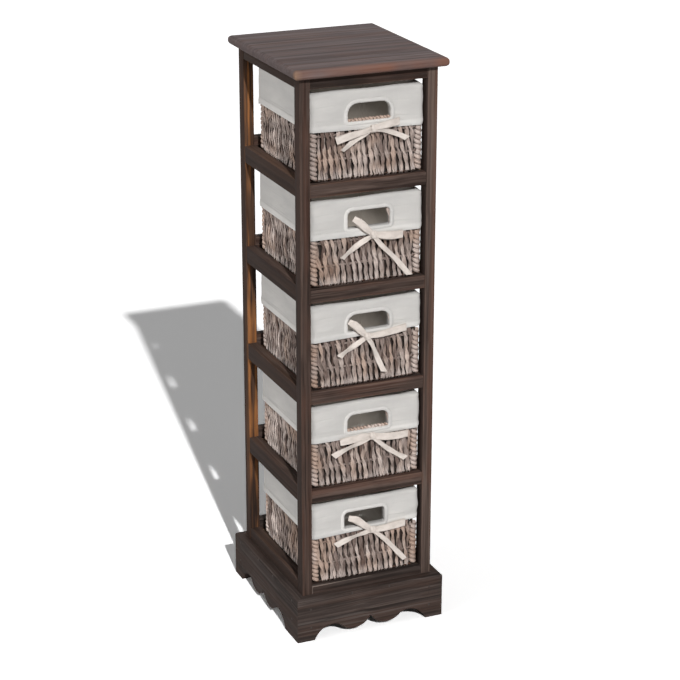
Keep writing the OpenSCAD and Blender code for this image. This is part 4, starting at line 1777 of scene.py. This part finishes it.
    def hole_edge(self, steps: int = 6, gap: float = 3 * MM) -> list[tuple[Pair, Pair]]:
        """Points round the handle opening.

        Args:
            steps: How many steps each corner has.
            gap: About how far apart the points are between the corners.

        Returns:
            Each point's x and z, and its way outwards.
        """
        found = []
        tops, feet = self.hole_round, self.hole_foot_round
        arcs = ((1, 1, tops), (-1, 1, tops), (-1, -1, feet), (1, -1, feet))
        for number, (sx, sz, radius) in enumerate(arcs):
            centre_x = self.hole_middle[0] + sx * (self.hole_half[0] - radius)
            centre_z = self.hole_middle[1] + sz * (self.hole_half[1] - radius)
            for step in range(steps + 1):
                angle = math.pi / 2 * (number + step / steps)
                way = (math.cos(angle), math.sin(angle))
                found.append(((centre_x + radius * way[0], centre_z + radius * way[1]), way))
        full = []
        for (place, way), (after, _) in circle(found):
            aside, up = after[0] - place[0], after[1] - place[1]
            parts = max(1, int(math.hypot(aside, up) / gap))
            for share in (part / parts for part in range(parts)):
                full.append(((place[0] + aside * share, place[1] + up * share), way))
        return full

    def stitches(self) -> bpy.types.Object:
        """Sews the hem's upper line.

        Returns:
            The stitches as one piece.
        """
        places, runs = [], []
        left = 0.0
        for (place, way, _), (ahead, ahead_way, _) in circle(self.columns):
            length = (ahead - place).length
            while left < length:
                share = left / length
                spot = place.lerp(ahead, share) + way.lerp(ahead_way, share) * (self.fold_out + 2.0 * MM)
                if way.x < -0.3:
                    spot = spot - way * 0.8 * MM
                places.append(self.origin + spot + Vector((0, 0, self.hem_height(spot, way) + 11.4 * MM)))
                runs.append((ahead - place).normalized())
                left += self.stitch
            left -= length
        host = points(self.basket.part("stitch_points"), places, run=runs)
        made = self.basket.loom.stitches.grow(self.basket.part("stitches"), host, self.basket.loom.thread)
        hand_over(made, self.basket.body, Slot.CLOTH)
        return made


@dataclass
class Ribbon:
    """The ribbon tied in front of a basket's hem: two loops, two tails and the knot, of one flat tape."""

    basket: Basket
    front: float
    width: float = 10 * MM
    thickness: float = 0.7 * MM
    lift: float = 2.2 * MM
    behind: float = 0.3 * MM
    ribs: tuple[float, ...] = (-1, -0.55, 0, 0.55, 1)

    def __post_init__(self) -> None:
        """Starts the tape's shape on the liner's outer face."""
        self.shape = bmesh.new()
        self.shape.loops.layers.float_vector.new(CLOTH)
        self.face = self.front - self.lift
        self.length = 0.0

    def build(self) -> None:
        """Lays the loops, the tails and the knot, and hands the ribbon over."""
        basket = self.basket
        for stations in basket.look.loops:
            self.loop(stations)
        for number, stations in enumerate(basket.look.tails):
            self.tail(stations, number)
        self.knot(*(place * MM for place in basket.look.knot))
        made = shaped_piece(self.shape, basket.part("tied_ribbon"), basket.loom.tape, self.thickness)
        hand_over(made, basket.body, Slot.TAPE, basket.part("tie"))
        basket.part("cotton_liner")

    def lay(self, middle: list[Vector], across: list[Vector]) -> None:
        """Lays one run of tape and adds its length to the ribbon's.

        Args:
            middle: The tape's middle line, from the basket's middle and bottom.
            across: Half the tape's width at each place, as a vector.
        """
        downs = [0.0]
        for start, end in zip(middle, middle[1:]):
            downs.append(downs[-1] + (end - start).length)
        rows = []
        for place, half in zip(middle, across):
            rows.append([self.shape.verts.new(self.basket.origin + place + half * rib) for rib in self.ribs])
        span(self.shape, rows, cloth=lambda row, column: (downs[row], column / 2 - 1, 0.0))
        self.length += downs[-1]

    @staticmethod
    def smooth(stations: Line, steps: int) -> list[tuple[Vector, Vector]]:
        """Draws a smooth line through stations.

        Args:
            stations: The stations of x, z and the tape's width.
            steps: How many steps there are between two.

        Returns:
            The line's points, as the stations are given, each with the way across the line there.
        """
        given = [Vector(station) for station in stations]
        given = [2 * given[0] - given[1], *given, 2 * given[-1] - given[-2]]
        line = []
        for number in range(1, len(given) - 2):
            before, start, end, after = given[number - 1 : number + 3]
            for step in range(steps + (number == len(given) - 3)):
                t = step / steps
                spot = (
                    2 * start
                    + (end - before) * t
                    + (2 * before - 5 * start + 4 * end - after) * t * t
                    + (3 * start - before - 3 * end + after) * t * t * t
                )
                line.append(spot / 2)
        sides = []
        for number in range(len(line)):
            ahead, behind = line[min(number + 1, len(line) - 1)], line[max(number - 1, 0)]
            way = Vector((ahead.x - behind.x, 0, ahead.y - behind.y)).normalized()
            sides.append(Vector((-way.z, 0, way.x)))
        return list(zip(line, sides))

    def loop(self, stations: Line) -> None:
        """Lays one loop of the bow, out along the front and back behind itself.

        Args:
            stations: The loop's stations.
        """
        line = self.smooth(stations, 6)
        last = len(line) - 1
        middle, across = [], []
        for number, (station, side) in enumerate(line):
            puff = (1.6 + 4.2 * math.sin(math.pi * min(1.0, number / last * 0.85 + 0.05))) * MM
            middle.append(Vector((station.x * MM, self.face - puff, station.y * MM)))
            across.append(side * station.z * 0.44 * MM)
        tip, tip_side = middle[-1], across[-1]
        before, end = line[-2][0], line[-1][0]
        way = Vector((end.x - before.x, 0, end.y - before.y)).normalized()
        deep = (tip.y - (self.face - self.behind)) / 2
        centre = tip - Vector((0, deep, 0))
        for step in range(1, 6):
            angle = math.pi * step / 6
            middle.append(centre + Vector((0, deep * math.cos(angle), 0)) + way * abs(deep) * math.sin(angle))
            across.append(tip_side * (1 - 0.05 * math.sin(angle)))
        for number in range(last, -1, -1):
            drop = 3.2 * MM * math.sin(math.pi * number / last)
            middle.append(Vector((middle[number].x, self.face - self.behind, middle[number].z - drop)))
            across.append(across[number] * 1.02)
        self.lay(middle, across)

    def tail(self, stations: Line, number: int) -> None:
        """Lays one hanging end of the ribbon, which twists a little on its way down.

        Args:
            stations: The tail's stations.
            number: Which tail it is.
        """
        line = self.smooth(stations, 8)
        middle, across = [], []
        for step, (station, side) in enumerate(line):
            share = step / (len(line) - 1)
            twist = 0.5 * math.sin(2.2 * math.pi * share + self.basket.bay + number * 2)
            turned = side * math.cos(twist) + Vector((0, 1, 0)) * math.sin(twist)
            lift = (1.6 + 1.4 * math.sin(2 * math.pi * share + number)) * MM
            middle.append(Vector((station.x * MM, self.face - lift, station.y * MM)))
            across.append(turned * station.z / 2 * MM)
        end = (middle[-1] - middle[-2]).normalized()
        across[-1] = across[-1] + end * across[-1].length * (0.5 if number else -0.4)
        self.lay(middle, across)

    def knot(self, x: float, z: float, steps: int = 20) -> None:
        """Lays the band round the bow's middle.

        Args:
            x: The knot's place across the basket.
            z: Its height.
            steps: How many steps the band has.
        """
        middle, across = [], []
        for step in range(steps + 1):
            angle = 2 * math.pi * step / steps
            pinch = 0.86 + 0.14 * math.cos(2 * angle)
            y = self.face - 2.8 * MM - 3.6 * MM * math.cos(angle)
            middle.append(Vector((x, y, z + 6.6 * MM * math.sin(angle))))
            across.append(Vector((5.2 * MM * pinch, 0, -0.8 * MM * math.cos(angle))))
        self.lay(middle, across)


LOOKS = {
    1: Bay(
        hem=(84.5, 79.5),
        knot=(9, 83),
        loops=(
            [(9, 83, 9), (-8, 80, 10), (-30, 76, 13), (-54, 69, 14)],
            [(9, 84, 9), (22, 87, 12), (38, 89.5, 14), (54, 90.5, 13)],
        ),
        tails=(
            [(9, 82, 7), (-6, 75, 8), (-24, 65, 8.5), (-45, 51, 9.5)],
            [(9, 82, 7), (32, 77, 8), (52, 69, 8.5), (69, 61, 9.5)],
        ),
        hole_round=18.0,
        painted_glow=0.85,
        tipped=True,
    ),
    2: Bay(
        hem=(83.0, 82.0),
        knot=(10, 83),
        loops=(
            [(10, 83, 8), (-4, 96, 13), (-14, 106, 14), (-23, 113, 11)],
            [(10, 84, 10), (28, 81, 14), (46, 79, 15), (62, 78, 14)],
        ),
        tails=(
            [(10, 82, 7), (-8, 74, 9), (-28, 61, 9.5), (-45, 48, 10)],
            [(10, 82, 7), (26, 62, 8.5), (50, 37, 9), (76, 6, 9.5)],
        ),
        hole_round=9.0,
        painted_glow=1.0,
    ),
    3: Bay(
        hem=(85.0, 90.0),
        knot=(0, 86),
        loops=(
            [(0, 86, 9), (-12, 98, 13), (-22, 109, 14), (-31, 115, 11)],
            [(0, 86, 9), (20, 88, 12), (46, 91, 14), (70, 92.5, 13)],
        ),
        tails=(
            [(0, 85, 7), (-20, 75, 9), (-36, 65, 10), (-50, 56, 10)],
            [(0, 85, 7), (10, 68, 8), (20, 44, 9), (31, 19, 9.5)],
        ),
        hole_shift=0.5,
        hole_round=16.0,
        painted_glow=0.56,
    ),
    4: Bay(
        hem=(84.0, 84.0),
        knot=(10, 84),
        loops=(
            [(10, 84, 10), (-8, 86, 14), (-28, 84, 15), (-47, 81, 13)],
            [(10, 84, 10), (30, 81, 14), (54, 79, 15), (75, 77.5, 13)],
        ),
        tails=(
            [(10, 83, 7), (-14, 75, 9), (-38, 66, 9.5), (-61, 57, 10)],
            [(10, 83, 7), (34, 60, 8.5), (54, 45, 9), (73, 33, 9.5)],
        ),
        hole_round=14.0,
        painted_glow=0.5,
        tipped=True,
    ),
    5: Bay(
        hem=(86.0, 93.0),
        knot=(11, 88),
        loops=(
            [(10, 88, 9), (-6, 101, 13), (-20, 113, 14), (-31, 116, 11)],
            [(11, 87, 10), (28, 88, 13), (50, 90, 15), (72, 90, 14)],
        ),
        tails=(
            [(11, 87, 7), (-14, 83, 9), (-36, 76, 9.5), (-57, 69, 10)],
            [(11, 87, 7), (36, 64, 8.5), (56, 41, 9), (73, 20, 9.5)],
        ),
        hole_shift=-5.5,
        hole_round=8.0,
        painted_glow=0.2,
    ),
}


@dataclass
class Studio:
    """A white floor and backdrop, a key light from the front left, a weak side light and an even fill."""

    key: float = 2.9
    fill: float = 0.145
    side: float = 1.6
    key_softness: float = 1.0
    side_softness: float = 40.0
    floor: float = 6.0
    floor_bounce: float = 0.85
    floor_seen: float = 1.55
    lens: float = 111.7
    sensor: float = 36.0
    spot: tuple[float, float, float] = (-1.3446, -3.1425, 1.7404)
    tilt: float = 20.165
    turn: float = 23.269

    def build(self) -> None:
        """Builds the floor, the lights and the camera."""
        scene = bpy.context.scene
        scene.view_settings.view_transform = "Standard"
        self.ground()
        self.sky(scene)
        self.lamp("key_light", self.key, self.key_softness, Vector((-0.244, -1.453, 1.0)))
        self.lamp("side_light", self.side, self.side_softness, Vector((-1.0, -0.1, 0.12)))
        self.camera(scene)

    @staticmethod
    def lamp(name: str, energy: float, softness: float, way: Vector) -> None:
        """Builds one distant light.

        Args:
            name: The light's name.
            energy: Its strength.
            softness: The angle in degrees that it fills in the sky.
            way: The way to it.
        """
        light = bpy.data.lights.new(name, "SUN")
        light.energy = energy
        light.angle = math.radians(softness)
        holder = linked(name, light)
        holder.rotation_mode = "QUATERNION"
        holder.rotation_quaternion = way.to_track_quat("Z", "Y")

    def ground(self) -> None:
        """Builds the floor, which keeps the cabinet's shadow and is white where the camera sees it."""
        corners = [Vector((x * self.floor, y * self.floor, 0)) for x, y in CORNERS]
        mesh = points("studio_floor", corners, [(0, 1, 2, 3)])
        shader = Shader("studio_floor")
        levels = ((level, level, level, 1.0) for level in (self.floor_bounce, self.floor_seen))
        plain, white = (shader.value("ShaderNodeBsdfDiffuse", {"Color": level}) for level in levels)
        seen = shader.value("ShaderNodeLightPath", output="Is Camera Ray")
        both = shader.value("ShaderNodeMixShader", {0: seen, 1: plain, 2: white})
        shader.node("ShaderNodeOutputMaterial", {"Surface": both})
        piece("studio_floor", mesh, shader.material)

    def sky(self, scene: bpy.types.Scene) -> None:
        """Builds the even fill, white where the camera or a gloss sees it.

        Args:
            scene: The scene.
        """
        world = bpy.data.worlds.new("studio_fill")
        scene.world = world
        world.use_nodes = True
        world.node_tree.nodes.clear()
        graph = Graph(world.node_tree)
        paths = graph.node("ShaderNodeLightPath")
        camera, passed, gloss = (
            Value(graph, paths.outputs[f"Is {kind} Ray"]) for kind in ("Camera", "Transmission", "Glossy")
        )
        seen = graph.slope(camera + passed + gloss, 0.0, 1.0)
        strength = self.fill + seen * (1.0 - self.fill)
        shaded = graph.value("ShaderNodeBackground", {"Color": (1, 1, 1, 1), "Strength": strength})
        graph.node("ShaderNodeOutputWorld", {"Surface": shaded})

    def camera(self, scene: bpy.types.Scene) -> None:
        """Builds the camera at the photograph's viewing angle.

        Args:
            scene: The scene.
        """
        lens = bpy.data.cameras.new("camera")
        lens.lens = self.lens
        lens.sensor_width = self.sensor
        lens.clip_end = 100.0
        holder = linked("camera", lens)
        holder.location = self.spot
        holder.rotation_euler = (math.radians(90 - self.tilt), 0.0, math.radians(-self.turn))
        scene.camera = holder


def main() -> None:
    """Builds the studio, the carcass and the five baskets, and notes the sizes."""
    logging.basicConfig(level=logging.INFO, format="%(name)s: %(message)s")
    Studio().build()
    Carcass().build()
    loom = Loom(
        leaf=Leaf("twisted_leaf").material(),
        # painted shade: the dark leaf behind the weave and under the liner
        painted_shade_backing=Dull("leaf_painted_shade_backing").material(),
        cotton=Cotton("liner_cotton").material(),
        tape=Tape("cotton_tape").material(),
        thread=Cotton("sewing_thread", cloth=srgb(206, 204, 198), soft=srgb(190, 187, 181)).material(),
        strands=strand_recipe(),
        coils=coil_recipe(),
        stitches=stitch_recipe(),
    )
    for bay, look in LOOKS.items():
        Basket(bay, loom, look).build()


if __name__ == "__main__":
    main()
